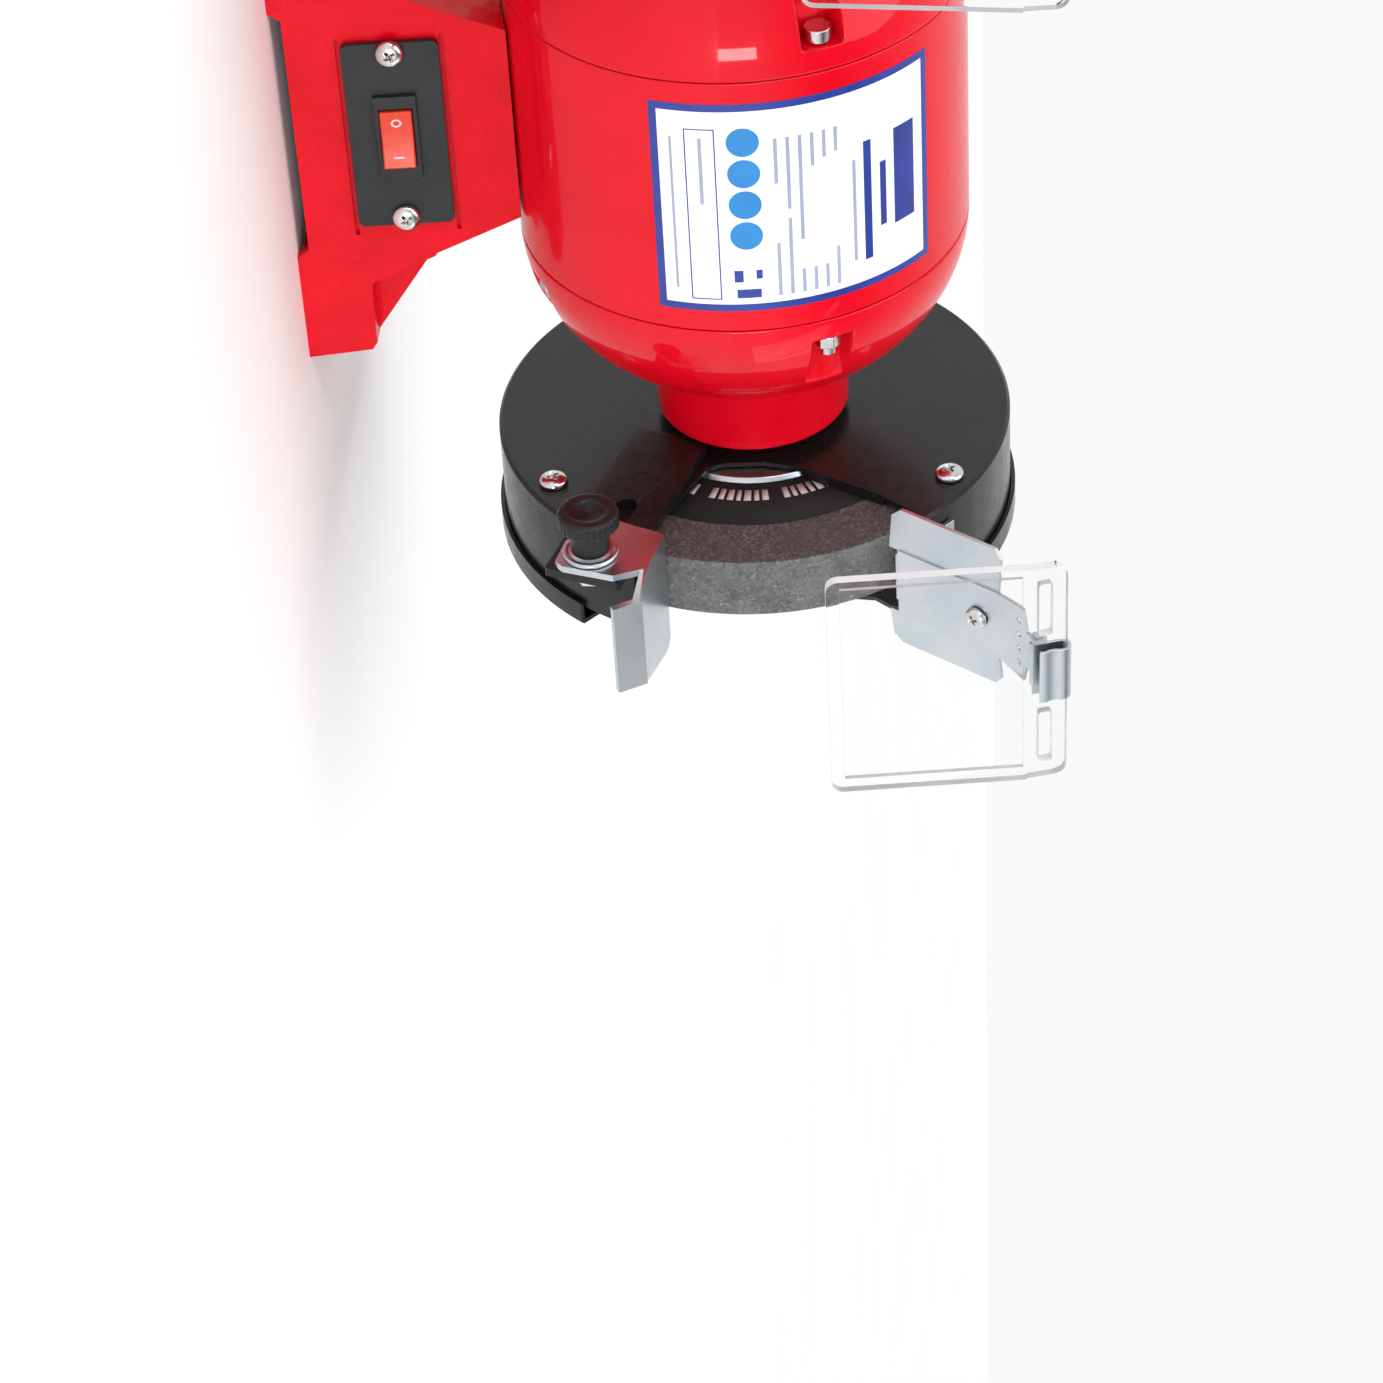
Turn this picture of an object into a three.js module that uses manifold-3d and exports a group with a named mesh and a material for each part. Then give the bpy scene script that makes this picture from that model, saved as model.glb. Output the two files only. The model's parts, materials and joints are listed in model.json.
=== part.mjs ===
// Bench grinder: a motor on a cast base, a wheel, guard, tool rest and eye shield at each end.
// Millimetres. +Z is up, X runs along the shaft and the operator stands on the -Y side.
// The origin is the centre of the whole object's footprint, at bench height.

import * as THREE from 'three';
import { mergeVertices } from 'three/addons/utils/BufferGeometryUtils.js';
import Module from 'manifold-3d';

const wasm = await Module();
wasm.setup();

// ---------------------------------------------------------------- driving dimensions

const GAP = 0.3;
const ROUND = 40;
const PAN_HEIGHT = 0.62;
const SHAFT_HEIGHT = 132.5;

const WHEEL_R = 75;
const WHEEL_X = [121.1, 141.1];
const ARBOR_R = 6.35;

const MOTOR_R = 67.6;
const SEAM_X = 41.75;
const SHELL_WALL = 2.5;
const DOME_LENGTH = 54.4;
const NECK_R = 29.7;
const NECK_END_X = 113;
const SPIGOT_R = 19;
const BOLT_CIRCLE_R = 62.4;
const BOLT_ANGLES = [25, 115, 205, 295];
const BOLT_SEAT_X = 49.3;

const DRUM_X = 117.05;
const DRUM_R = 79.8;
const DRUM_END_X = 148;
const SHEET = 1.5;
const COVER_X = [146, 154.4];
const COVER_R = 81.4;
const INNER_FLANGE_R = 36;
const OUTER_FLANGE_R = 28;

// The drum's front mouth, from its upper corner down past the hub to its lower corner, as [y, z].
const MOUTH_UPPER = [[-60, 56.3], [-47.3, 41.1], [-39.1, 27.3], [-32.2, 15], [-29.8, 4]];
const MOUTH_LOWER = [[-30.4, -8], [-32.3, -12.6], [-58.1, -25.8], [-73.6, -34.4]];
const COVER_MOUTH = [[-66, 55.5], [-51, 38], [-50, 30], [-50, -34], [-52.3, -42], [-68, -56.5]];

const FACE_SCREW_R = 71.8;
const FACE_SCREW_ANGLES = { upper: 58.6, lower: -56.4 };
const RIM_SCREW_X = 126;
const RIM_SCREW_ANGLE = 46.6;
const RIM_SCREW_TURN = THREE.MathUtils.degToRad(90 - RIM_SCREW_ANGLE);

const BASE_TOP_HALF = 32;
const BASE_FOOT_HALF = 78;
const BASE_TOP_Z = 67.5;
const BASE_FOOT_Z = 19.3;
const BASE_DEPTH_HALF = 27.3;
const BASE_SLOPE = THREE.MathUtils.degToRad(5);
const FOOT_FLOOR = 7;
const FOOT_WALL = 13.8;
const GUSSET_DEPTH = 8;
const BENCH_HOLE_X = 65;

const PLATE_SIZE = [62, 28.4, 2];
const PLATE_CENTRE = [-0.35, 33.9];
const PLATE_SCREW_X = 28;
const BEZEL_SIZE = [28, 12.6];
const ROCKER_SIZE = [18, 9.4];
const ROCKER_REST_TILT = THREE.MathUtils.degToRad(8);

const ARM_X = [113.8, 116.75];
const ARM_SLOPE = THREE.MathUtils.degToRad(18.5);
const ARM_HALF = 11.9;
const CLAMP_YZ = [-82, -45];
const CLAMP_BOLT_R = 2.9;
const KNOB_R = 9.4;
const KNOB_LENGTH = 13.9;
const LEG_X = [111.2, 113.4];
const TABLE_TILT = THREE.MathUtils.degToRad(14);
const TABLE_REAR_YZ = [-73.5, -23.6];
const TABLE_DEPTH = 26;
const TABLE_SHEET = 2.1;
const TABLE_END_X = 151;

const SHIELD_CENTRE_X = 131.5;
const DEFLECTOR_FOOT_YZ = [-71.2, 45.8];
const DEFLECTOR_LEAN = THREE.MathUtils.degToRad(34.6);
const DEFLECTOR_LENGTH = 36.4;
const DEFLECTOR_SCREW_UP = 29.2;
const DEFLECTOR_TRAVEL = [-4.2, 5.2];
const PLATE_SHEET = 1.2;
const WING_STEP = 0.8;
const HINGE_YZ = [-107.6, 87.4];
const PANE_BOTTOM_YZ = [-122, 26.4];
const PANE_BEND_YZ = [-116.2, 84.2];
const PANE_TOP_YZ = [-113.2, 96];
const PANE_HALF = 39.7;
const PANE_SHEET = 3;

// The two shields are tilted by hand, so the left one hangs a little further in.
const SHIELD_TILT = { right: 0, left: THREE.MathUtils.degToRad(10) };

// The shaft stands behind the origin, which is midway between the eye shields and the guards' backs.
const SHAFT_Y = (-PANE_BOTTOM_YZ[0] - COVER_R) / 2;

// ---------------------------------------------------------------- materials

function paint(color, roughness, metalness) {
  return new THREE.MeshStandardMaterial({ color, roughness, metalness });
}

const RED_GLOSS = paint(0xd8061f, 0.25, 0.1);
const RED_CAST = paint(0xcc0a1e, 0.4, 0.1);
const BLACK_PAINT = paint(0x26272a, 0.45, 0.1);
const BLACK_PLASTIC = paint(0x17181a, 0.5, 0);
const ZINC = paint(0xb9c0c6, 0.35, 0.9);
const STEEL = paint(0x9a9da0, 0.35, 0.9);
const LAMINATION = paint(0x6d6f72, 0.5, 0.8);
const COPPER = paint(0xb0642e, 0.4, 0.7);
const ABRASIVE = paint(0x6b6b6c, 0.95, 0);
const CLEAR = paint(0xdfe8ea, 0.1, 0);
CLEAR.transparent = true;
CLEAR.opacity = 0.3;
const ROCKER_RED = paint(0xe0402c, 0.35, 0);
const ALUMINIUM = paint(0xc9ccce, 0.4, 0.9);

// ---------------------------------------------------------------- solids

function signedVolume(positions, index) {
  const a = new THREE.Vector3();
  const b = new THREE.Vector3();
  const c = new THREE.Vector3();
  let volume = 0;
  for (let i = 0; i < index.length; i += 3) {
    a.fromArray(positions, 3 * index[i]);
    b.fromArray(positions, 3 * index[i + 1]);
    c.fromArray(positions, 3 * index[i + 2]);
    volume += a.dot(b.cross(c)) / 6;
  }
  return volume;
}

// Turns a closed geometry into a solid that the boolean library can join and cut.
function solid(geometry) {
  const bare = new THREE.BufferGeometry();
  bare.setAttribute('position', geometry.getAttribute('position').clone());
  if (geometry.index) {
    bare.setIndex(geometry.index.clone());
  }
  const merged = mergeVertices(bare, 1e-4);
  const positions = merged.getAttribute('position').array;
  const source = merged.index.array;
  const index = [];
  for (let i = 0; i < source.length; i += 3) {
    const [p, q, r] = [source[i], source[i + 1], source[i + 2]];
    if (p !== q && q !== r && p !== r) {
      index.push(p, q, r);
    }
  }
  if (signedVolume(positions, index) < 0) {
    index.reverse();
  }
  const vertProperties = new Float32Array(positions);
  const triVerts = new Uint32Array(index);
  return new wasm.Manifold(new wasm.Mesh({ numProp: 3, vertProperties, triVerts }));
}

function geometryOf(body) {
  const mesh = body.getMesh();
  const geometry = new THREE.BufferGeometry();
  geometry.setAttribute('position', new THREE.BufferAttribute(new Float32Array(mesh.vertProperties), 3));
  geometry.setIndex(new THREE.BufferAttribute(new Uint32Array(mesh.triVerts), 1));
  return geometry;
}

function join(...bodies) {
  return bodies.reduce((whole, body) => whole.add(body));
}

function cut(body, ...tools) {
  return tools.reduce((rest, tool) => rest.subtract(tool), body);
}

// Adds one named piece to a group.
function piece(group, name, body, material) {
  const geometry = geometryOf(body);
  geometry.computeVertexNormals();
  const mesh = new THREE.Mesh(geometry, material);
  mesh.name = name;
  group.add(mesh);
}

// A box from its lowest to its highest corner.
function box(low, high) {
  const size = high.map((value, i) => value - low[i]);
  const geometry = new THREE.BoxGeometry(...size);
  geometry.translate((low[0] + high[0]) / 2, (low[1] + high[1]) / 2, (low[2] + high[2]) / 2);
  return solid(geometry);
}

// A turned piece about the X axis; each profile point is [x, radius].
function turned(profile, segments = 48) {
  const points = profile.map(([x, r]) => new THREE.Vector2(r, x));
  const onAxis = profile[0][1] === 0 && profile[profile.length - 1][1] === 0;
  if (!onAxis) {
    points.push(points[0].clone());
  }
  const geometry = new THREE.LatheGeometry(points, segments);
  geometry.rotateZ(-Math.PI / 2);
  return solid(geometry);
}

function ring(x0, x1, inner, outer, segments = 48) {
  return turned([[x0, inner], [x1, inner], [x1, outer], [x0, outer]], segments);
}

// A cylinder along X at a place given as [y, z].
function rod(x0, x1, radius, [y, z] = [0, 0], segments = 24) {
  const geometry = new THREE.CylinderGeometry(radius, radius, x1 - x0, segments);
  geometry.rotateZ(-Math.PI / 2);
  geometry.translate((x0 + x1) / 2, y, z);
  return solid(geometry);
}

function shapeOf(outline, holes = []) {
  const shape = new THREE.Shape(outline.map(([a, b]) => new THREE.Vector2(a, b)));
  for (const hole of holes) {
    shape.holes.push(new THREE.Path(hole.map(([a, b]) => new THREE.Vector2(a, b))));
  }
  return shape;
}

function extruded(outline, depth, holes = []) {
  return new THREE.ExtrudeGeometry(shapeOf(outline, holes), { depth, bevelEnabled: false });
}

// A flat plate whose outline is given as [y, z] points, from x0 to x1.
function plateYZ(outline, x0, x1, holes = []) {
  const geometry = extruded(outline, x1 - x0, holes);
  const axes = new THREE.Matrix4();
  axes.makeBasis(new THREE.Vector3(0, 1, 0), new THREE.Vector3(0, 0, 1), new THREE.Vector3(1, 0, 0));
  geometry.applyMatrix4(axes);
  geometry.translate(x0, 0, 0);
  return solid(geometry);
}

// A flat plate whose outline is given as [x, z] points, from y0 to y1.
function plateXZ(outline, y0, y1) {
  const geometry = extruded(outline.map(([x, z]) => [z, x]), y1 - y0);
  const axes = new THREE.Matrix4();
  axes.makeBasis(new THREE.Vector3(0, 0, 1), new THREE.Vector3(1, 0, 0), new THREE.Vector3(0, 1, 0));
  geometry.applyMatrix4(axes);
  geometry.translate(0, y0, 0);
  return solid(geometry);
}

// A body given near the origin as (across X, along a slope, through it), laid on a slope in the YZ plane.
// The slope starts at [y, z] and climbs along [ey, ez]; through is the direction [-ez, ey].
function onSlope(body, [y, z], [ey, ez]) {
  const geometry = geometryOf(body);
  const axes = new THREE.Matrix4();
  axes.makeBasis(new THREE.Vector3(1, 0, 0), new THREE.Vector3(0, ey, ez), new THREE.Vector3(0, -ez, ey));
  geometry.applyMatrix4(axes);
  geometry.translate(0, y, z);
  return solid(geometry);
}

function arc(centre, radius, from, to, steps) {
  const points = [];
  for (let i = 0; i <= steps; i += 1) {
    const angle = THREE.MathUtils.degToRad(from + (to - from) * i / steps);
    points.push([centre[0] + radius * Math.cos(angle), centre[1] + radius * Math.sin(angle)]);
  }
  return points;
}

// A straight slot with round ends, between two centres.
function slot(a, b, radius, steps = 6) {
  const heading = THREE.MathUtils.radToDeg(Math.atan2(b[1] - a[1], b[0] - a[0]));
  const farEnd = arc(b, radius, heading - 90, heading + 90, steps);
  const nearEnd = arc(a, radius, heading + 90, heading + 270, steps);
  return [...farEnd, ...nearEnd];
}

// A Phillips pan head with its shank, along +X, the head's crown at the lower X end.
function panScrew(x, length, headR, shankR, [y, z]) {
  const headHeight = headR * PAN_HEIGHT;
  const profile = [
    [x, 0],
    [x, headR * 0.55],
    [x + headHeight * 0.35, headR * 0.9],
    [x + headHeight * 0.7, headR],
    [x + headHeight, headR],
    [x + headHeight, shankR],
    [x + headHeight + length, shankR],
    [x + headHeight + length, 0],
  ];
  const body = turned(profile, 12).translate([0, y, z]);
  const depth = headHeight * 0.6;
  const wide = headR * 0.5;
  const thin = headR * 0.14;
  const first = box([x - 1, y - wide, z - thin], [x + depth, y + wide, z + thin]);
  const second = box([x - 1, y - thin, z - wide], [x + depth, y + thin, z + wide]);
  return cut(body, first, second);
}

function onBoltCircle(degrees) {
  const angle = THREE.MathUtils.degToRad(degrees);
  return [-BOLT_CIRCLE_R * Math.cos(angle), BOLT_CIRCLE_R * Math.sin(angle)];
}

// ---------------------------------------------------------------- base

// The front and rear faces lean in by the casting draft; below is the half depth at a height.
function baseHalfDepth(z) {
  return BASE_DEPTH_HALF - z * Math.tan(BASE_SLOPE);
}

function draftedBlock(outline, inset, top) {
  const slab = plateXZ(outline, -40, 40);
  const low = baseHalfDepth(-2) - inset;
  const high = baseHalfDepth(top) - inset;
  return slab.intersect(plateYZ([[-low, -2], [low, -2], [high, top], [-high, top]], -90, 90));
}

// Points on the base's front face: x, height, and how far out of the face.
function onFront(x, z, out) {
  return [x, -baseHalfDepth(z) - out * Math.cos(BASE_SLOPE), z + out * Math.sin(BASE_SLOPE)];
}

// Lays a body made at the origin, facing -Y, on the base's front face with its middle at [x, z].
function onFrontFace(body, [x, z]) {
  const geometry = geometryOf(body);
  geometry.rotateX(-BASE_SLOPE);
  geometry.translate(...onFront(x, z, 0));
  return solid(geometry);
}

function baseOutline() {
  const right = [
    [BASE_FOOT_HALF, 0],
    [BASE_FOOT_HALF - 1.5, BASE_FOOT_Z],
    [BASE_TOP_HALF + 11, 41.7],
    [BASE_TOP_HALF, BASE_TOP_Z],
  ];
  const left = right.map(([x, z]) => [-x, z]).reverse();
  const arch = [[-42, 0], [-39.3, 3.7], [39.3, 3.7], [42, 0]];
  return [...right, ...left, ...arch];
}

function baseCasting() {
  const body = draftedBlock(baseOutline(), 0, BASE_TOP_Z);
  const cavity = draftedBlock([[-46, -2], [46, -2], [46, 17], [28, 60], [-28, 60], [-46, 17]], 4.5, 60);
  const saddle = rod(-50, 50, MOTOR_R + 2 * GAP, [0, SHAFT_HEIGHT], 64);
  const tools = [cavity, saddle];
  for (const side of [-1, 1]) {
    const mirrored = ([x, z]) => [side * x, z];
    const pocket = [[52, FOOT_FLOOR], [82, FOOT_FLOOR], [82, 72], [30, 72]].map(mirrored);
    const pocketHalf = baseHalfDepth(0) - FOOT_WALL;
    tools.push(plateXZ(pocket, -pocketHalf, pocketHalf));
    const gusset = [[52.5, 21.3], [74, 20.8], [85, 30], [46, 60], [38, 55]].map(mirrored);
    for (const face of [-1, 1]) {
      const [near, far] = [face * (baseHalfDepth(20) - GUSSET_DEPTH), face * 60];
      tools.push(plateXZ(gusset, Math.min(near, far), Math.max(near, far)));
    }
    const hole = new THREE.CylinderGeometry(3.5, 3.5, 40, 24).rotateX(Math.PI / 2);
    tools.push(solid(hole.translate(side * BENCH_HOLE_X, 0, 5)));
  }
  const switchHole = onFrontFace(box([-24, -3, -8.5], [24, 8, 8.5]), PLATE_CENTRE);
  const glandHole = new THREE.CylinderGeometry(6.3, 6.3, 20, 32).translate(26, baseHalfDepth(16), 16);
  tools.push(switchHole, solid(glandHole));
  for (const edge of [-1, 1]) {
    const height = edge * (PLATE_SIZE[1] / 2 + 0.9);
    tools.push(onFrontFace(box([-32, -2, height - 0.6], [35.2, 1.5, height + 0.6]), PLATE_CENTRE));
  }
  for (const side of [-1, 1]) {
    const [x, z] = [PLATE_CENTRE[0] + side * PLATE_SCREW_X, PLATE_CENTRE[1]];
    const hole = new THREE.CylinderGeometry(1.9, 1.9, 10, 16);
    tools.push(onFrontFace(solid(hole), [x, z]));
  }
  return cut(body, ...tools);
}

function baseCover() {
  const half = baseHalfDepth(0) - 4.5 - 0.8;
  return box([-45.4, -half, 4.2], [45.4, half, 5.7]);
}

function addBase(group) {
  piece(group, 'base_casting', baseCasting(), RED_CAST);
  piece(group, 'base_cover', baseCover(), ZINC);
  const capacitor = turned([[-24, 0], [-24, 11], [23, 11], [23, 3], [27, 3], [27, 0]], 24);
  piece(group, 'capacitor', capacitor.translate([0, 7, 40]), ALUMINIUM);
  const wall = baseHalfDepth(16);
  const grommet = turned([[-8, 3.7], [4, 3.7], [4, 8], [GAP, 9], [GAP, 6], [-8, 6]], 20);
  const turnedRound = geometryOf(grommet).rotateZ(Math.PI / 2).translate(26, wall + 0.7, 16);
  piece(group, 'cable_gland', solid(turnedRound), BLACK_PLASTIC);
}

// ---------------------------------------------------------------- switch

function addSwitch(group) {
  const [width, height, thick] = PLATE_SIZE;
  const [bezelWidth, bezelHeight] = BEZEL_SIZE;
  const corner = 2;
  const [w, h] = [width / 2, height / 2];
  const outline = [
    ...arc([w - corner, -h + corner], corner, -90, 0, 3),
    ...arc([w - corner, h - corner], corner, 0, 90, 3),
    ...arc([-w + corner, h - corner], corner, 90, 180, 3),
    ...arc([-w + corner, -h + corner], corner, 180, 270, 3),
  ];
  const window = box([-13.1, -9, -5.6], [13.1, 9, 5.6]);
  const holes = [-1, 1].map((side) => {
    const hole = new THREE.CylinderGeometry(2, 2, 9, 16);
    return solid(hole.translate(side * PLATE_SCREW_X, 0, 0));
  });
  const plate = cut(plateXZ(outline, -thick - GAP, -GAP), window, ...holes);
  piece(group, 'switch_plate', onFrontFace(plate, PLATE_CENTRE), BLACK_PLASTIC);

  const face = -thick - 2 * GAP;
  const bezel = box([-bezelWidth / 2, face - 1.4, -bezelHeight / 2], [bezelWidth / 2, face, bezelHeight / 2]);
  const shroud = box([-12.8, face - 0.5, -5.3], [12.8, 14, 5.3]);
  const well = box([-9.8, face - 3, -4.9], [9.8, 6, 4.9]);
  const blades = [-6, 6].map((x) => box([x - 0.4, 13, -2.4], [x + 0.4, 20, 2.4]));
  const housing = join(cut(join(bezel, shroud), well), ...blades);
  piece(group, 'switch_housing', onFrontFace(housing, PLATE_CENTRE), BLACK_PLASTIC);

  const [rockerWidth, rockerHeight] = ROCKER_SIZE;
  const half = rockerWidth / 2;
  const profile = [[-half, -3.4], [0, -2.4], [half, -3.4], [half, 1], [3, 4], [-3, 4], [-half, 1]];
  const lying = extruded(profile, rockerHeight);
  lying.translate(0, 0, -rockerHeight / 2);
  lying.rotateZ(-ROCKER_REST_TILT);
  lying.translate(0, face, 0);
  piece(group, 'switch_rocker', onFrontFace(solid(lying), PLATE_CENTRE), ROCKER_RED);

  for (const [name, side] of [['left_plate_screw', -1], ['right_plate_screw', 1]]) {
    const headR = 4.2;
    const screw = geometryOf(panScrew(0, 9, headR, 1.6, [0, 0])).rotateZ(Math.PI / 2);
    screw.translate(0, -thick - GAP * 2 - headR * PAN_HEIGHT, 0);
    const place = [PLATE_CENTRE[0] + side * PLATE_SCREW_X, PLATE_CENTRE[1]];
    piece(group, name, onFrontFace(solid(screw), place), STEEL);
  }
}

// ---------------------------------------------------------------- motor

function domeRadius(x) {
  return MOTOR_R * Math.sqrt(1 - ((x - SEAM_X) / DOME_LENGTH) ** 2);
}

function bell() {
  const start = SEAM_X + GAP / 2;
  const neckX = SEAM_X + DOME_LENGTH * Math.sqrt(1 - (NECK_R / MOTOR_R) ** 2);
  const outer = [];
  const steps = 7;
  for (let i = 0; i <= steps; i += 1) {
    const sweep = i / steps * Math.asin((neckX - SEAM_X) / DOME_LENGTH);
    const x = Math.max(start, SEAM_X + DOME_LENGTH * Math.sin(sweep));
    outer.push([x, i === 0 ? MOTOR_R : domeRadius(x)]);
  }
  const profile = [
    [start, MOTOR_R - 8],
    ...outer,
    [NECK_END_X - 1, NECK_R],
    [NECK_END_X, NECK_R - 1],
    [NECK_END_X, SPIGOT_R],
    [DRUM_X - GAP, SPIGOT_R],
    [DRUM_X - GAP, 11],
    [104.3, 11],
    [104.3, 17.8],
    [90, 17.8],
    [88, 25],
    [64, 51],
  ];
  const notches = BOLT_ANGLES.map((degrees) => {
    const length = 30;
    const notch = box([BOLT_SEAT_X, -90, -6], [BOLT_SEAT_X + length, -BOLT_CIRCLE_R + 4.3, 6]);
    return notch.rotate([-degrees, 0, 0]);
  });
  const holes = BOLT_ANGLES.map((degrees) => rod(SEAM_X - 1, BOLT_SEAT_X + 1, 2.8, onBoltCircle(degrees), 8));
  return cut(turned(profile, ROUND), ...notches, ...holes);
}

function throughBolt(degrees) {
  const [y, z] = onBoltCircle(degrees);
  const seat = BOLT_SEAT_X + GAP;
  const shank = rod(-seat - 1, seat + 7, 2.45, [y, z], 12);
  const head = rod(-seat - 4, -seat, 4, [y, z], 16);
  const nut = new THREE.CylinderGeometry(4, 4, 4, 6).rotateZ(-Math.PI / 2).translate(seat + 2, y, z);
  return join(shank, head, solid(nut));
}

function slotPlaces(count, radius) {
  const places = [];
  for (let i = 0; i < count; i += 1) {
    const angle = 2 * Math.PI * (i + 0.5) / count;
    places.push([radius * Math.cos(angle), radius * Math.sin(angle)]);
  }
  return places;
}

function addMotor(group) {
  const inner = MOTOR_R - SHELL_WALL;
  piece(group, 'motor_shell', ring(-SEAM_X + GAP / 2, SEAM_X - GAP / 2, inner, MOTOR_R, ROUND), RED_GLOSS);

  const slots = slotPlaces(8, 42);
  const core = cut(
    ring(-24, 24, 33, inner - 1, ROUND),
    ...slots.map((place) => rod(-30, 30, 4.5, place, 10)),
    ...BOLT_ANGLES.map((degrees) => rod(-30, 30, 3.4, onBoltCircle(degrees), 8)),
  );
  piece(group, 'stator_core', core, LAMINATION);
  const winding = join(
    ring(-37, -24 - GAP, 36, 52, 32),
    ring(24 + GAP, 37, 36, 52, 32),
    ...slots.map((place) => rod(-28, 28, 4, place, 8)),
  );
  piece(group, 'stator_winding', winding, COPPER);
  BOLT_ANGLES.forEach((degrees, i) => piece(group, `through_bolt_${i + 1}`, throughBolt(degrees), STEEL));

  piece(group, 'rotor_core', ring(-25, 25, 10 + GAP, 32, 32), LAMINATION);
  const half = [
    [152.2, 0], [152.2, ARBOR_R - 0.6], [151.6, ARBOR_R], [115.4, ARBOR_R],
    [115.4, 7.5], [88, 7.5], [88, 10],
  ];
  const shaft = [...half.map(([x, r]) => [-x, r]), ...half.slice().reverse()];
  piece(group, 'drive_shaft', turned(shaft, 20), STEEL);
}

// ---------------------------------------------------------------- one end: bearing, wheel and guard

function addWheelEnd(group, side) {
  piece(group, `${side}_bell`, bell(), RED_GLOSS);
  piece(group, `${side}_bearing`, ring(92.6, 103.9, 7.5 + GAP, 17.5, 24), STEEL);

  const bore = ARBOR_R + GAP;
  const [near, far] = WHEEL_X;
  piece(group, `${side}_grinding_wheel`, ring(near, far, bore, WHEEL_R, 48), ABRASIVE);
  const hub = [
    [115.7, bore], [near - GAP, bore], [near - GAP, INNER_FLANGE_R],
    [near - 2, INNER_FLANGE_R - 1], [near - 2, 10], [115.7, 10],
  ];
  piece(group, `${side}_inner_flange`, turned(hub, 28), ZINC);
  const cup = [
    [far + GAP, bore], [144.2, bore], [144.2, 16], [142.6, OUTER_FLANGE_R], [far + GAP, OUTER_FLANGE_R],
  ];
  piece(group, `${side}_outer_flange`, turned(cup, 28), ZINC);
  const nutBody = new THREE.CylinderGeometry(10.7, 10.7, 6.2, 6).rotateZ(-Math.PI / 2);
  const nut = cut(solid(nutBody.translate(147.6, 0, 0)), rod(140, 156, ARBOR_R + 0.25, [0, 0], 24));
  piece(group, `${side}_spindle_nut`, nut, STEEL);
}

// A drill through the drum's rim and the foot that is screwed to it.
function rimDrill() {
  const drill = new THREE.CylinderGeometry(2, 2, 14, 12).rotateX(Math.PI / 2);
  drill.translate(0, 0, DRUM_R + 1).rotateX(RIM_SCREW_TURN);
  return solid(drill.translate(RIM_SCREW_X, 0, 0));
}

function guardDrum() {
  const can = turned([
    [DRUM_X, 13.4], [DRUM_X, DRUM_R - 1], [DRUM_X + 1, DRUM_R], [DRUM_END_X, DRUM_R],
    [DRUM_END_X, DRUM_R - SHEET], [DRUM_X + SHEET, DRUM_R - SHEET], [DRUM_X + SHEET, 13.4],
  ], 48);
  const mouth = [...MOUTH_UPPER, ...MOUTH_LOWER, [-120, -62], [-120, 110]];
  const open = cut(can, plateYZ(mouth, DRUM_X - 5, DRUM_END_X + 5));
  const edge = MOUTH_UPPER.slice(1);
  const inset = edge.map(([y, z]) => [y + SHEET, z + 0.4]).reverse();
  const flangeRoom = rod(DRUM_X + SHEET, DRUM_X + 5, INNER_FLANGE_R + 1, [0, 0], 48);
  const lip = cut(plateYZ([...edge, ...inset], DRUM_X + 0.2, DRUM_X + 3.6), flangeRoom);
  const holes = Object.values(FACE_SCREW_ANGLES).map((degrees) => {
    return rod(DRUM_X - 3, DRUM_X + 8, 2.6, onDrumFace(degrees), 16);
  });
  return cut(join(open, lip), ...holes, rimDrill());
}

function onDrumFace(degrees) {
  const angle = THREE.MathUtils.degToRad(degrees);
  return [-FACE_SCREW_R * Math.cos(angle), FACE_SCREW_R * Math.sin(angle)];
}

function guardCover() {
  const [near, far] = COVER_X;
  const inner = DRUM_R + GAP;
  const pan = turned([
    [near, inner], [near, COVER_R], [far - 1, COVER_R], [far, COVER_R - 1],
    [far, 0], [far - SHEET, 0], [far - SHEET, inner],
  ], 48);
  const mouth = [...COVER_MOUTH, [-120, -60], [-120, 60]];
  return cut(pan, plateYZ(mouth, near - 5, far + 5));
}

function addGuard(group, side) {
  piece(group, `${side}_guard_drum`, guardDrum(), BLACK_PAINT);
  piece(group, `${side}_guard_cover`, guardCover(), BLACK_PAINT);
  const headR = 4.4;
  for (const [place, degrees] of Object.entries(FACE_SCREW_ANGLES)) {
    const screw = panScrew(DRUM_X - GAP - headR * PAN_HEIGHT, 2.6, headR, 2.1, onDrumFace(degrees));
    piece(group, `${side}_${place}_guard_screw`, screw, STEEL);
  }
}

// ---------------------------------------------------------------- tool rest

const ALONG_ARM = [-Math.cos(ARM_SLOPE), -Math.sin(ARM_SLOPE)];

// A point beside the clamp bolt: so far forward along the arm, so far up across it.
function atArm(forward, up) {
  return [
    CLAMP_YZ[0] + forward * ALONG_ARM[0] + up * ALONG_ARM[1],
    CLAMP_YZ[1] + forward * ALONG_ARM[1] - up * ALONG_ARM[0],
  ];
}

function restArm() {
  const [rear, front] = [-66, 8];
  const outline = [
    atArm(rear, -ARM_HALF), atArm(rear, ARM_HALF), atArm(front, ARM_HALF), atArm(front, -ARM_HALF),
  ];
  return plateYZ(outline, ...ARM_X, [slot(atArm(-28, 0), atArm(3, 0), CLAMP_BOLT_R + 0.4)]);
}

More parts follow.
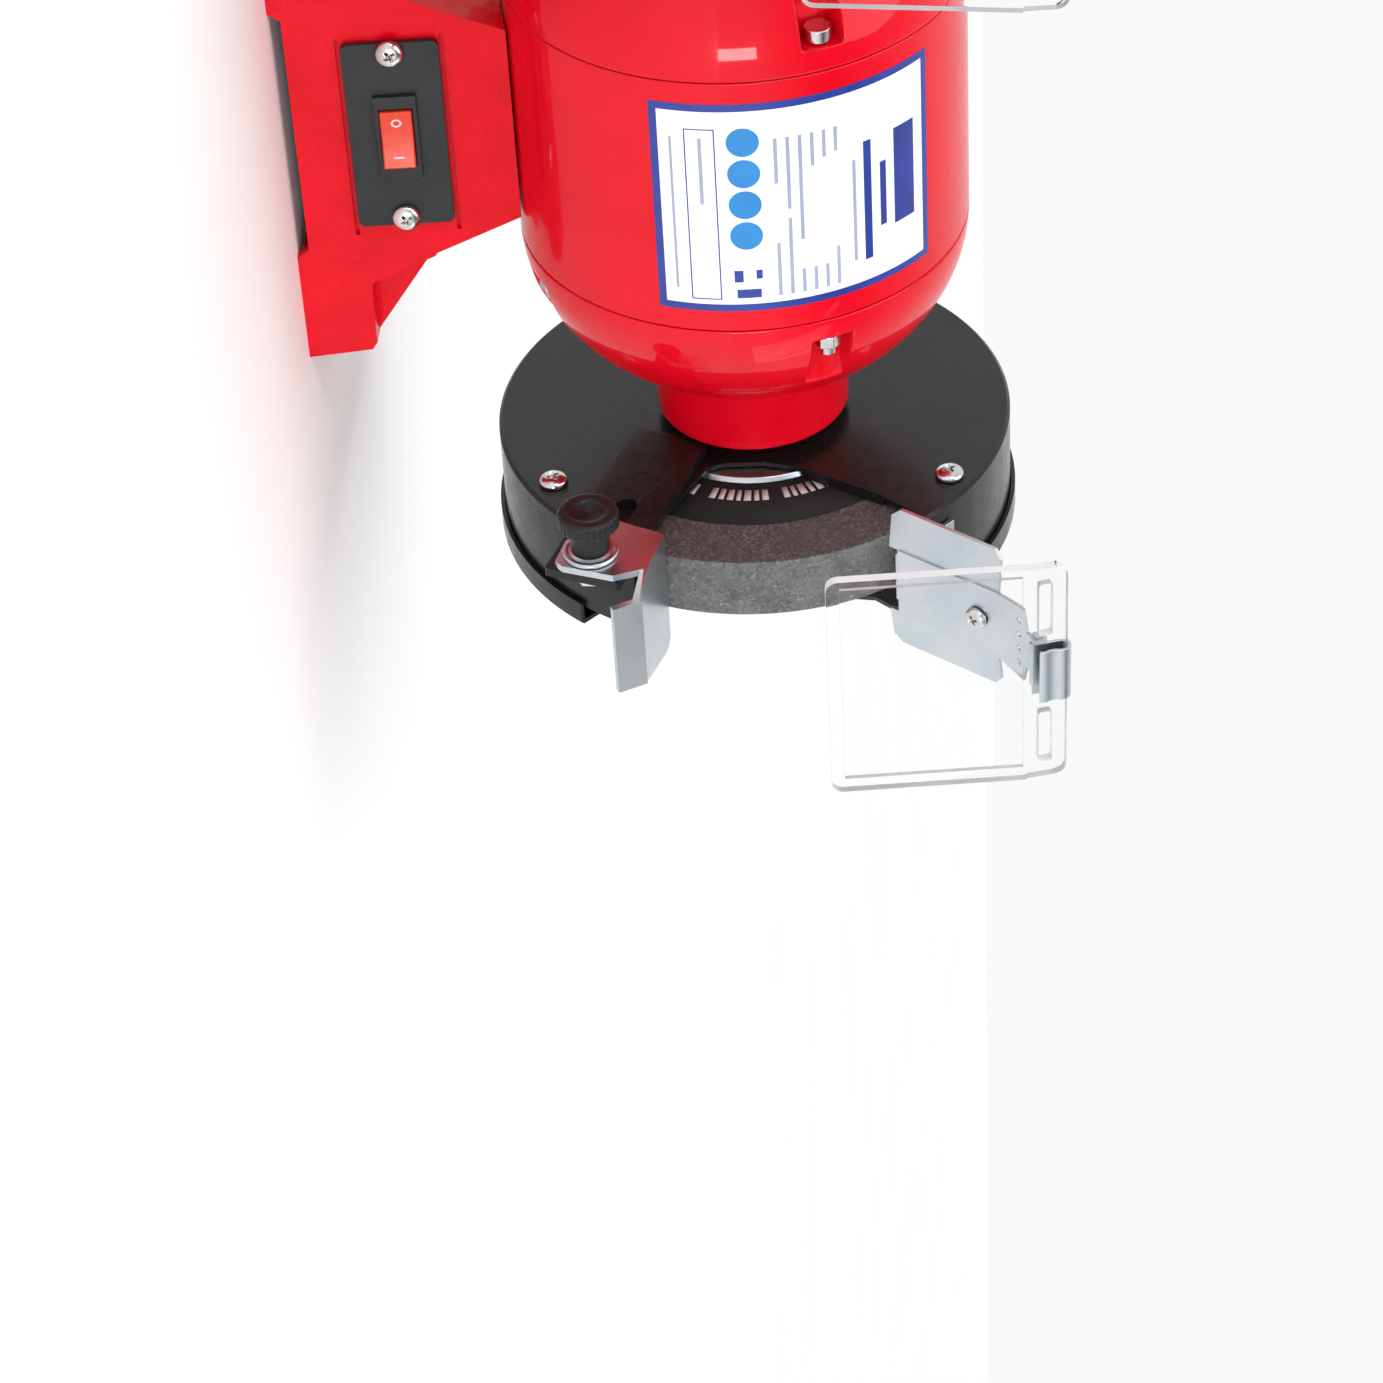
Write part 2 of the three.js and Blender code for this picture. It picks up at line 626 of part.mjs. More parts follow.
function toolRest() {
  const [legNear, legFar] = LEG_X;
  const legOutline = [
    [-73.2, -24.6], [-90, -28.8], [-93.2, -37.7], [-88.5, -53.2], [-86, -55.4],
    [-76, -53], [-73, -50], [-65.5, -38], [-65.2, -34.6], [-70.4, -26.6],
  ];
  const hole = arc(CLAMP_YZ, CLAMP_BOLT_R + 0.4, 0, 360, 16).slice(0, -1);
  const leg = plateYZ(legOutline, legNear, legFar, [hole]);
  const forward = [-Math.cos(TABLE_TILT), -Math.sin(TABLE_TILT)];
  const [lipNear, lipFar] = [legNear + 5.5, TABLE_END_X - 2.6];
  const tableOutline = [
    [legNear, 0], [TABLE_END_X - 1, 0], [TABLE_END_X + 1.4, 2], [TABLE_END_X + 2, 4.6],
    [TABLE_END_X - 1.2, 21], [lipFar, TABLE_DEPTH], [lipNear, TABLE_DEPTH], [legNear, 17],
  ];
  const table = solid(extruded(tableOutline, TABLE_SHEET));
  const tableBody = onSlope(table, TABLE_REAR_YZ, forward);
  const front = [
    TABLE_REAR_YZ[0] + TABLE_DEPTH * forward[0],
    TABLE_REAR_YZ[1] + TABLE_DEPTH * forward[1],
  ];
  const lipLean = THREE.MathUtils.degToRad(62);
  const down = [-Math.cos(lipLean), -Math.sin(lipLean)];
  const lip = box([lipNear, -1, 0], [lipFar, 8.4, TABLE_SHEET]);
  const lipBody = onSlope(lip, front, down);
  const wheelSpace = rod(100, 170, WHEEL_R + 1.4, [0, 0], 72);
  return cut(join(leg, tableBody, lipBody), wheelSpace);
}

function restKnob(x) {
  const grip = [];
  const lobes = 10;
  for (let i = 0; i < lobes * 4; i += 1) {
    const angle = 2 * Math.PI * i / (lobes * 4);
    const radius = i % 4 < 2 ? KNOB_R : KNOB_R - 0.6;
    grip.push([CLAMP_YZ[0] + radius * Math.cos(angle), CLAMP_YZ[1] + radius * Math.sin(angle)]);
  }
  const cap = plateYZ(grip, x - KNOB_LENGTH, x - KNOB_LENGTH + 5.7);
  const neck = rod(x - KNOB_LENGTH + 4, x, 5.9, CLAMP_YZ, 24);
  return cut(join(cap, neck), rod(x - 11, x + 1, CLAMP_BOLT_R + GAP, CLAMP_YZ, 16));
}

function addToolRest(group, side) {
  piece(group, `${side}_rest_arm`, restArm(), BLACK_PAINT);
  piece(group, `${side}_tool_rest`, toolRest(), ZINC);
  const washerX = LEG_X[0] - GAP;
  const washer = rod(washerX - 1.5, washerX, 8.4, CLAMP_YZ, 32);
  piece(group, `${side}_rest_washer`, cut(washer, rod(100, 120, CLAMP_BOLT_R + 0.4, CLAMP_YZ, 16)), ZINC);
  const knobX = washerX - 1.5 - GAP;
  piece(group, `${side}_rest_knob`, restKnob(knobX), BLACK_PLASTIC);
  const head = new THREE.CylinderGeometry(5.6, 5.6, 3.2, 6).rotateZ(-Math.PI / 2);
  head.translate(ARM_X[1] + GAP + 1.6, ...CLAMP_YZ);
  const bolt = join(rod(knobX - 10, ARM_X[1] + 1, CLAMP_BOLT_R, CLAMP_YZ, 16), solid(head));
  piece(group, `${side}_rest_bolt`, bolt, STEEL);
}

// ---------------------------------------------------------------- spark deflector and eye shield

const UP_DEFLECTOR = [-Math.sin(DEFLECTOR_LEAN), Math.cos(DEFLECTOR_LEAN)];

// A point beside the deflector's foot: so far up its front face, so far behind it.
function atDeflector(up, behind) {
  return [
    DEFLECTOR_FOOT_YZ[0] + up * UP_DEFLECTOR[0] + behind * UP_DEFLECTOR[1],
    DEFLECTOR_FOOT_YZ[1] + up * UP_DEFLECTOR[1] - behind * UP_DEFLECTOR[0],
  ];
}

function rimPoint(tangent, out) {
  const angle = THREE.MathUtils.degToRad(RIM_SCREW_ANGLE);
  const radius = DRUM_R + GAP + out;
  return [
    -radius * Math.cos(angle) - tangent * Math.sin(angle),
    radius * Math.sin(angle) - tangent * Math.cos(angle),
  ];
}

// Where the foot's line on the rim meets a line so far behind the deflector's face.
function bendPoint(out, behind) {
  const [footY, footZ] = DEFLECTOR_FOOT_YZ;
  const depth = ([y, z]) => (y - footY) * UP_DEFLECTOR[1] - (z - footZ) * UP_DEFLECTOR[0];
  const start = depth(rimPoint(0, out));
  const fall = start - depth(rimPoint(1, out));
  return rimPoint((start - behind) / fall, out);
}

// An L: its foot is screwed to the drum's rim and the deflector is screwed to its upright.
function shieldSupport() {
  const near = PLATE_SHEET + GAP;
  const far = near + SHEET;
  const top = DEFLECTOR_SCREW_UP + 10.3;
  const outline = [
    rimPoint(-5, SHEET), rimPoint(-5, 0), bendPoint(0, near),
    atDeflector(top, near), atDeflector(top, far), bendPoint(SHEET, far),
  ];
  const bracket = plateYZ(outline, SHIELD_CENTRE_X - 9, SHIELD_CENTRE_X + 8);
  const [down, up] = DEFLECTOR_TRAVEL;
  const slit = onDeflector(plateYZ(slot([0, down], [0, up], 2), -6, 6), DEFLECTOR_SCREW_UP);
  return cut(bracket, rimDrill(), slit);
}

// Lays a body turned about X at the origin so that its +X points out behind the deflector.
function onDeflector(body, up) {
  const geometry = geometryOf(body);
  geometry.rotateZ(Math.PI / 2);
  geometry.rotateX(DEFLECTOR_LEAN);
  const [y, z] = atDeflector(up, 0);
  geometry.translate(SHIELD_CENTRE_X, y, z);
  return solid(geometry);
}

function sparkDeflector() {
  const centre = [[-12, 0], [12, 0], [12, DEFLECTOR_LENGTH], [-12, DEFLECTOR_LENGTH]];
  const wing = [[11.6, -3.6], [22.5, -3.6], [25.2, -0.6], [25.2, 33.5], [22.4, 35.8], [11.6, 35.8]];
  const slab = (outline, back) => {
    const flat = extruded(outline, PLATE_SHEET).translate(SHIELD_CENTRE_X, 0, -PLATE_SHEET - back);
    return onSlope(solid(flat), DEFLECTOR_FOOT_YZ, UP_DEFLECTOR);
  };
  const flip = (outline) => outline.map(([x, z]) => [-x, z]);
  const flapStart = atDeflector(DEFLECTOR_LENGTH, 0);
  const reach = Math.hypot(HINGE_YZ[0] - flapStart[0], HINGE_YZ[1] - flapStart[1]);
  const upFlap = [(HINGE_YZ[0] - flapStart[0]) / reach, (HINGE_YZ[1] - flapStart[1]) / reach];
  const flapOutline = [
    [-11.6, -0.6], [12.4, -0.6], [12.8, 12.4], [6.5, 14],
    [6.5, reach - 1], [-6.5, reach - 1], [-6.5, 14], [-10.8, 12.4],
  ];
  const flapFlat = extruded(flapOutline, PLATE_SHEET).translate(SHIELD_CENTRE_X, 0, -PLATE_SHEET);
  const flap = onSlope(solid(flapFlat), flapStart, upFlap);
  const knuckle = rod(SHIELD_CENTRE_X - 7, SHIELD_CENTRE_X + 7, 2.4, HINGE_YZ, 16);
  const bore = rod(SHIELD_CENTRE_X - 9, SHIELD_CENTRE_X + 9, 1.4, HINGE_YZ, 12);
  const screwHole = onDeflector(rod(-4, 4, 1.9, [0, 0], 12), DEFLECTOR_SCREW_UP);
  const body = join(slab(centre, 0), slab(wing, WING_STEP), slab(flip(wing), WING_STEP), flap, knuckle);
  return cut(body, bore, screwHole);
}

function paneOutline(from, to, front, back) {
  const [dy, dz] = [to[0] - from[0], to[1] - from[1]];
  const length = Math.hypot(dy, dz);
  const [ny, nz] = [dz / length, -dy / length];
  return [
    [from[0] + ny * front, from[1] + nz * front],
    [to[0] + ny * front, to[1] + nz * front],
    [to[0] + ny * back, to[1] + nz * back],
    [from[0] + ny * back, from[1] + nz * back],
  ];
}

// How far a line from one [y, z] point to another leans from upright, and its length.
function leanAndLength(from, to) {
  const [dy, dz] = [to[0] - from[0], to[1] - from[1]];
  return [Math.atan2(dy, dz), Math.hypot(dy, dz)];
}

function eyeShield() {
  const [low, high] = [SHIELD_CENTRE_X - PANE_HALF, SHIELD_CENTRE_X + PANE_HALF];
  const pane = plateYZ(paneOutline(PANE_BOTTOM_YZ, PANE_BEND_YZ, 0, PANE_SHEET), low, high);
  const flangeOutline = paneOutline(PANE_BEND_YZ, PANE_TOP_YZ, 0, PANE_SHEET);
  const flange = plateYZ(flangeOutline, low + 0.5, high - 0.5);
  const rim = 4;
  const [lean, height] = leanAndLength(PANE_BOTTOM_YZ, PANE_BEND_YZ);
  const recess = geometryOf(box([low + rim, 1.6, rim], [high - rim, 6, height - 1]));
  recess.rotateX(-lean).translate(0, ...PANE_BOTTOM_YZ);
  const [flangeLean] = leanAndLength(PANE_BEND_YZ, PANE_TOP_YZ);
  const slots = [-1, 1].map((side) => {
    const middle = SHIELD_CENTRE_X + side * 24;
    const geometry = geometryOf(box([middle - 9.5, -3, 3.6], [middle + 9.5, 8, 7.8]));
    return solid(geometry.rotateX(-flangeLean).translate(0, ...PANE_BEND_YZ));
  });
  return cut(join(pane, flange), solid(recess), ...slots);
}

function shieldClamp() {
  const half = 10.2;
  const [lean, length] = leanAndLength(PANE_BEND_YZ, PANE_TOP_YZ);
  const [front, back, top] = [-GAP, PANE_SHEET + GAP, length + GAP];
  const hook = join(
    box([-half, front - PLATE_SHEET, 3], [half, front, top + PLATE_SHEET]),
    box([-half, front - PLATE_SHEET, top], [half, back + PLATE_SHEET, top + PLATE_SHEET]),
    box([-half, back, 2], [half, back + PLATE_SHEET, top + PLATE_SHEET]),
  );
  const laid = geometryOf(hook).rotateX(-lean).translate(SHIELD_CENTRE_X, ...PANE_BEND_YZ);
  const ears = [-1, 1].map((side) => {
    const [inner, outer] = [7 + GAP, 9];
    const outline = [
      ...arc(HINGE_YZ, 2.4, -90, 90, 6),
      [HINGE_YZ[0] - 3.6, HINGE_YZ[1] + 2.8],
      [HINGE_YZ[0] - 4, HINGE_YZ[1] - 0.6],
    ];
    const ends = [SHIELD_CENTRE_X + side * inner, SHIELD_CENTRE_X + side * outer];
    const pin = [SHIELD_CENTRE_X + side * 5, SHIELD_CENTRE_X + side * 8];
    return join(
      plateYZ(outline, Math.min(...ends), Math.max(...ends)),
      rod(Math.min(...pin), Math.max(...pin), 1.1, HINGE_YZ, 12),
    );
  });
  return join(solid(laid), ...ears);
}

// Swings a body round the shield's hinge.
function swung(body, angle) {
  const [y, z] = HINGE_YZ;
  const geometry = geometryOf(body).translate(0, -y, -z);
  return solid(geometry.rotateX(angle).translate(0, y, z));
}

function addShield(group, side) {
  piece(group, `${side}_shield_support`, shieldSupport(), ZINC);
  piece(group, `${side}_spark_deflector`, sparkDeflector(), ZINC);
  piece(group, `${side}_eye_shield`, swung(eyeShield(), SHIELD_TILT[side]), CLEAR);
  piece(group, `${side}_shield_clamp`, swung(shieldClamp(), SHIELD_TILT[side]), ZINC);
  const plateHeadR = 3.6;
  const plateScrew = panScrew(-GAP - plateHeadR * PAN_HEIGHT, 4.6, plateHeadR, 1.6, [0, 0]);
  piece(group, `${side}_deflector_screw`, onDeflector(plateScrew, DEFLECTOR_SCREW_UP), STEEL);
  const rimHeadR = 3.4;
  const rimScrew = geometryOf(panScrew(0, 4.4, rimHeadR, 1.6, [0, 0])).rotateY(Math.PI / 2);
  rimScrew.translate(0, 0, DRUM_R + 2 * GAP + SHEET + rimHeadR * PAN_HEIGHT);
  rimScrew.rotateX(RIM_SCREW_TURN).translate(RIM_SCREW_X, 0, 0);
  piece(group, `${side}_support_screw`, solid(rimScrew), STEEL);
}

// ---------------------------------------------------------------- the whole grinder

const grinder = new THREE.Group();

const stand = new THREE.Group();
stand.position.set(0, SHAFT_Y, 0);
grinder.add(stand);
addBase(stand);
addSwitch(stand);

const machine = new THREE.Group();
machine.position.set(0, SHAFT_Y, SHAFT_HEIGHT);
grinder.add(machine);
addMotor(machine);

for (const side of ['right', 'left']) {
  const end = new THREE.Group();
  end.scale.x = side === 'right' ? 1 : -1;
  machine.add(end);
  addWheelEnd(end, side);
  addGuard(end, side);
  addToolRest(end, side);
  addShield(end, side);
}

export default grinder;
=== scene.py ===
"""Looks for a bench grinder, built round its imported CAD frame.

Lengths are in millimetres until a mesh is made.
"""

import json
import math

import bmesh
import bpy
from mathutils import Matrix, Vector

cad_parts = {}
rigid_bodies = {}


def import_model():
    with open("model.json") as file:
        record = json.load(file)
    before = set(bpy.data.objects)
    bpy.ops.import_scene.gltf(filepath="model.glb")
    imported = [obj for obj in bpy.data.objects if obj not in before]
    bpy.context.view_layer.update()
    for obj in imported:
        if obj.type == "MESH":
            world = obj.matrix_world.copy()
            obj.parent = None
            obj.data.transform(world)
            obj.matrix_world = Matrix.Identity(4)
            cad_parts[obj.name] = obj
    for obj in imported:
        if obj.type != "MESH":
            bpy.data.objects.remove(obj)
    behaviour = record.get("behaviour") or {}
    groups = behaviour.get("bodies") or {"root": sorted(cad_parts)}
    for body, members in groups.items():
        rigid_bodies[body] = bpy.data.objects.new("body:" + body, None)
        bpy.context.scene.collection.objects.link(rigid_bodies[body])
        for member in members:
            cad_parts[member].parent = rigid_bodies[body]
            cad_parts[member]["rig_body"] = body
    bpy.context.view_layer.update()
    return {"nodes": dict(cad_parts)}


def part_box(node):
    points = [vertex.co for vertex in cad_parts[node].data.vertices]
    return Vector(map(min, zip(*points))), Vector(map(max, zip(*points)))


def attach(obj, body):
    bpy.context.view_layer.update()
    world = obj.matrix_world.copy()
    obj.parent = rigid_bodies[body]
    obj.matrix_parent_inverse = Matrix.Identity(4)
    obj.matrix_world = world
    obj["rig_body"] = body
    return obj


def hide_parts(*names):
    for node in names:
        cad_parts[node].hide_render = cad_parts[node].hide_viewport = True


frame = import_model()

MM = 0.001
SIDES = {"right": 1, "left": -1}
FINE = 4  # slices that each flat of a faceted turned piece is divided into
FAR = 1e3  # beyond every point of the object
BASE_SLOPE = math.radians(5)


def box_mm(node):
    """Lowest and highest corner of a CAD node, in millimetres."""
    low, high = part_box(node)
    return low / MM, high / MM


def middle(node):
    low, high = box_mm(node)
    return (low + high) / 2


# ---------------------------------------------------------------- sizes read from the frame

AXIS = Vector((0, middle("drive_shaft").y, middle("drive_shaft").z))
SHELL_END = box_mm("motor_shell")[1].x
MOTOR_R = box_mm("motor_shell")[1].z - AXIS.z
BELL_START, BELL_END = box_mm("right_bell")[0].x, box_mm("right_bell")[1].x
WHEEL_NEAR, WHEEL_FAR = box_mm("right_grinding_wheel")[0].x, box_mm("right_grinding_wheel")[1].x
WHEEL_R = box_mm("right_grinding_wheel")[1].z - AXIS.z
DRUM_NEAR = box_mm("right_guard_drum")[0].x
DRUM_R = box_mm("right_guard_drum")[1].z - AXIS.z
COVER_FAR = box_mm("right_guard_cover")[1].x
SHIELD_X = middle("right_eye_shield").x
PLATE = middle("switch_plate")

# ---------------------------------------------------------------- materials

NOISE_LOW, NOISE_HIGH = 0.3, 0.7
GRIT_SCALE = 1150


class Look:
    """A procedural material under construction, with a Principled shader as its result."""

    def __init__(self, name):
        self.material = bpy.data.materials.new(name)
        self.material.use_nodes = True
        self.tree = self.material.node_tree
        self.shader = self.tree.nodes["Principled BSDF"]
        self.place = self.add("ShaderNodeTexCoord").outputs["Object"]

    def add(self, kind, **settings):
        node = self.tree.nodes.new(kind)
        for name, value in settings.items():
            if hasattr(node, name):
                setattr(node, name, value)
            else:
                node.inputs[name.replace("_", " ")].default_value = value
        return node

    def link(self, source, target):
        self.tree.links.new(source, target)

    def set(self, **values):
        for name, value in values.items():
            self.shader.inputs[name.replace("_", " ")].default_value = value

    def noise(self, scale, detail=2.0, rough=0.5, stretch=None):
        node = self.add("ShaderNodeTexNoise", Scale=scale, Detail=detail, Roughness=rough)
        self.link(self.stretched(stretch), node.inputs["Vector"])
        return node.outputs["Fac"]

    def cells(self, scale, feature="F1"):
        node = self.add("ShaderNodeTexVoronoi", feature=feature, Scale=scale)
        self.link(self.place, node.inputs["Vector"])
        return node

    def stretched(self, stretch):
        if stretch is None:
            return self.place
        node = self.add("ShaderNodeMapping")
        node.inputs["Scale"].default_value = stretch
        self.link(self.place, node.inputs["Vector"])
        return node.outputs["Vector"]

    def ramp(self, source, *stops):
        """Maps a value to colours; each stop is (place, colour)."""
        node = self.add("ShaderNodeValToRGB")
        elements = node.color_ramp.elements
        while len(elements) < len(stops):
            elements.new(0.5)
        for element, (at, colour) in zip(elements, stops):
            element.position = at
            element.color = (*colour, 1)
        self.link(source, node.inputs["Fac"])
        return node.outputs["Color"]

    def spread(self, source, low, high):
        """Maps a noise, whose values lie mostly near its middle, to a range."""
        node = self.add("ShaderNodeMapRange")
        settings = {"From Min": NOISE_LOW, "From Max": NOISE_HIGH, "To Min": low, "To Max": high}
        for name, value in settings.items():
            node.inputs[name].default_value = value
        self.link(source, node.inputs["Value"])
        return node.outputs["Result"]

    def mixed(self, factor, first, second):
        node = self.add("ShaderNodeMix", data_type="RGBA")
        self.link(factor, node.inputs["Factor"])
        for socket, colour in ((node.inputs["A"], first), (node.inputs["B"], second)):
            if isinstance(colour, tuple):
                socket.default_value = (*colour, 1)
            else:
                self.link(colour, socket)
        return node.outputs["Result"]

    def bump(self, height, distance, strength=1.0, below=None):
        node = self.add("ShaderNodeBump", Distance=distance * MM, Strength=strength)
        self.link(height, node.inputs["Height"])
        if below is not None:
            self.link(below, node.inputs["Normal"])
        self.link(node.outputs["Normal"], self.shader.inputs["Normal"])
        return node.outputs["Normal"]

    def colour(self, source):
        self.link(source, self.shader.inputs["Base Color"])

    def rough(self, source):
        self.link(source, self.shader.inputs["Roughness"])

    def mottled(self, scale, detail, first, second):
        """Two near tones of one colour, mixed by a noise."""
        self.colour(self.ramp(self.noise(scale, detail), (NOISE_LOW, first), (NOISE_HIGH, second)))

    def uneven(self, scale, detail, low, high):
        """A roughness that varies a little from place to place."""
        self.rough(self.spread(self.noise(scale, detail), low, high))


def even(name, tones, sheen, grain=None, **settings):
    """Two near tones, an uneven roughness and, where it has one, a fine grain.

    Each starts with its noise's scale and detail; a grain ends with its depth and strength.
    """
    look = Look(name)
    look.set(**settings)
    look.mottled(*tones)
    look.uneven(*sheen)
    if grain:
        scale, detail, depth, strength = grain
        look.bump(look.noise(scale, detail), depth, strength)
    return look.material


def printed(name, first, second, roughness=0.38, film=0.25):
    """Ink or paper: two near tones, under a faint film where it has one."""
    return even(
        name, (70, 3, first, second), (500, 2, roughness - 0.05, roughness + 0.05),
        Coat_Weight=film, Coat_Roughness=0.12, Specular_IOR_Level=0.2 + film,
    )


def gloss_red():
    look = Look("gloss_red")
    look.set(Coat_Weight=0.5, Coat_Roughness=0.04, Specular_IOR_Level=0.05)
    look.colour(look.ramp(look.noise(22, 3), (0.35, (0.65, 0.0004, 0.009)), (0.65, (0.72, 0.0008, 0.013))))
    look.uneven(300, 3, 0.28, 0.38)
    look.bump(look.noise(170, 2), 0.035, 0.5)
    return look.material


def cast_red():
    look = Look("cast_red")
    look.set(Coat_Weight=0.3, Coat_Roughness=0.1, Specular_IOR_Level=0.05)
    pits = look.cells(260, "SMOOTH_F1")
    look.mottled(60, 4, (0.64, 0.0006, 0.008), (0.76, 0.0015, 0.014))
    look.uneven(500, 3, 0.22, 0.42)
    coarse = look.bump(look.noise(190, 6, 0.7), 0.7, 0.85)
    look.bump(pits.outputs["Distance"], 0.3, 0.4, coarse)
    return look.material


def zinc():
    look = Look("zinc_plate")
    look.set(Metallic=1.0)
    look.mottled(45, 3, (0.48, 0.55, 0.60), (0.62, 0.64, 0.65))
    look.rough(look.spread(look.noise(260, 4, 0.6), 0.28, 0.36))
    look.bump(look.noise(500, 3, 0.5), 0.006, 0.3)
    return look.material


def bright_steel():
    look = Look("bright_steel")
    look.set(Metallic=1.0)
    look.mottled(120, 3, (0.56, 0.56, 0.55), (0.74, 0.74, 0.73))
    look.uneven(900, 3, 0.14, 0.26)
    look.bump(look.noise(900, 3, 0.6, (0.15, 1, 1)), 0.012, 0.4)
    return look.material


def lamination():
    look = Look("lamination")
    look.set(Metallic=0.9)
    stack = look.add("ShaderNodeTexWave", bands_direction="X", Scale=320.0, Distortion=0.2)
    look.link(look.place, stack.inputs["Vector"])
    look.colour(look.ramp(stack.outputs["Fac"], (0.2, (0.10, 0.10, 0.11)), (0.8, (0.30, 0.30, 0.31))))
    look.uneven(300, 2, 0.4, 0.6)
    return look.material


def copper():
    look = Look("enamelled_copper")
    look.set(Metallic=0.85, Coat_Weight=0.5)
    wires = look.add("ShaderNodeTexWave", bands_direction="DIAGONAL", Scale=260.0, Distortion=2.5)
    look.link(look.place, wires.inputs["Vector"])
    look.colour(look.ramp(wires.outputs["Fac"], (0.1, (0.30, 0.10, 0.03)), (0.9, (0.72, 0.30, 0.12))))
    look.uneven(400, 2, 0.25, 0.4)
    look.bump(wires.outputs["Fac"], 0.15, 0.6)
    return look.material


def abrasive():
    look = Look("abrasive_grit")
    look.set(Specular_IOR_Level=0.35)
    grit = look.cells(GRIT_SCALE)
    shade = look.ramp(
        grit.outputs["Color"], (0.0, (0.055, 0.056, 0.058)), (0.55, (0.155, 0.155, 0.155)),
        (0.86, (0.24, 0.235, 0.23)), (1.0, (0.46, 0.45, 0.44)),
    )
    cloudy = look.ramp(look.noise(120, 4), (0.3, (0.085, 0.087, 0.09)), (0.7, (0.19, 0.187, 0.183)))
    look.colour(look.mixed(look.spread(look.noise(420, 2), 0.35, 0.75), shade, cloudy))
    look.uneven(900, 2, 0.72, 0.95)
    low = look.bump(look.noise(650, 4, 0.7), 0.5, 0.7)
    look.bump(grit.outputs["Distance"], 0.45, 0.6, low)
    return look.material


def abrasive_painted_shade():
    """The wheel's side faces, with painted shade: darker and browner than the rim, for the shade on the sides
    and the red light bounced onto them from the motor.
    """
    look = Look("abrasive_painted_shade")
    look.set(Specular_IOR_Level=0.2)
    grit = look.cells(GRIT_SCALE)
    # Painted shade: the grit's tones here are darker than on the rim.
    shade = look.ramp(
        grit.outputs["Color"], (0.0, (0.035, 0.032, 0.031)), (0.6, (0.105, 0.096, 0.093)),
        (1.0, (0.24, 0.22, 0.21)),
    )
    # A darker brown tone mixed in: painted shade, tinted by the red light bounced from the motor.
    painted_shade_tone = (0.075, 0.064, 0.061)
    look.colour(look.mixed(look.spread(look.noise(60, 3), 0.2, 0.8), shade, painted_shade_tone))
    look.uneven(900, 2, 0.75, 0.95)
    look.bump(grit.outputs["Distance"], 0.4, 0.5)
    return look.material


def aluminium_can():
    look = Look("aluminium_can")
    look.set(Metallic=1.0)
    look.mottled(60, 2, (0.72, 0.73, 0.74), (0.82, 0.83, 0.84))
    look.rough(look.spread(look.noise(500, 3, 0.5, (0.1, 1, 1)), 0.25, 0.4))
    return look.material


LOOKS = {
    "gloss_red": gloss_red(),
    "cast_red": cast_red(),
    "satin_black": even(
        "satin_black", (35, 3, (0.006, 0.006, 0.0065), (0.010, 0.010, 0.011)), (240, 3, 0.24, 0.36),
        (900, 2, 0.012, 0.5), Coat_Weight=0.2, Coat_Roughness=0.14, Specular_IOR_Level=0.25,
    ),
    "black_plastic": even(
        "black_plastic", (50, 2, (0.008, 0.008, 0.009), (0.014, 0.014, 0.015)), (400, 2, 0.30, 0.44),
        (1500, 2, 0.02, 0.5), Specular_IOR_Level=0.3,
    ),
    "switch_black": even(
        "switch_black", (90, 2, (0.016, 0.019, 0.021), (0.024, 0.027, 0.029)), (700, 2, 0.38, 0.5),
        (2200, 2, 0.02, 0.6), Specular_IOR_Level=0.3,
    ),
    "zinc": zinc(),
    "steel": bright_steel(),
    "lamination": lamination(),
    "copper": copper(),
    "abrasive": abrasive(),
    "abrasive_painted_shade": abrasive_painted_shade(),
    "clear_plastic": even(
        "clear_plastic", (15, 2, (0.985, 0.99, 0.995), (0.995, 1.0, 1.0)), (60, 2, 0.0, 0.01),
        Transmission_Weight=1.0, IOR=1.2, Specular_IOR_Level=0.5,
    ),
    # The moulded edges of the clear pane scatter the light and look pale.
    "clear_edge": even(
        "clear_edge", (40, 2, (0.74, 0.76, 0.77), (0.84, 0.85, 0.86)), (200, 2, 0.3, 0.4),
        Transmission_Weight=0.1, IOR=1.47, Specular_IOR_Level=0.4,
    ),
    "rocker_red": even(
        "rocker_red", (90, 2, (0.66, 0.040, 0.016), (0.76, 0.060, 0.024)), (600, 2, 0.25, 0.36),
        (1800, 2, 0.01, 0.5), Coat_Weight=0.1, Coat_Roughness=0.3, Specular_IOR_Level=0.3,
    ),
    "capacitor_can": aluminium_can(),
    "rubber": even(
        "black_rubber", (80, 3, (0.010, 0.010, 0.010), (0.022, 0.021, 0.020)), (700, 3, 0.6, 0.8),
        (1600, 3, 0.05, 0.5),
    ),
    "pale_floor": even("pale_floor", (3, 2, (0.90, 0.90, 0.90), (0.93, 0.93, 0.93)), (6, 2, 0.75, 0.85)),
    "label_white": printed("label_white", (0.88, 0.90, 0.94), (0.93, 0.95, 0.98)),
    "label_blue": printed("label_blue", (0.010, 0.028, 0.24), (0.015, 0.040, 0.30)),
    "label_sky": printed("label_sky", (0.008, 0.19, 0.52), (0.012, 0.23, 0.58)),
    "label_grey": printed("label_grey", (0.30, 0.33, 0.47), (0.36, 0.39, 0.52)),
    "label_black": printed("label_black", (0.007, 0.007, 0.0075), (0.013, 0.012, 0.012), 0.6, 0.0),
    "ink_white": printed("ink_white", (0.74, 0.73, 0.72), (0.84, 0.83, 0.82)),
    "ink_faded": printed("ink_faded", (0.40, 0.36, 0.36), (0.56, 0.51, 0.51), 0.6),
}

# ---------------------------------------------------------------- mesh tools


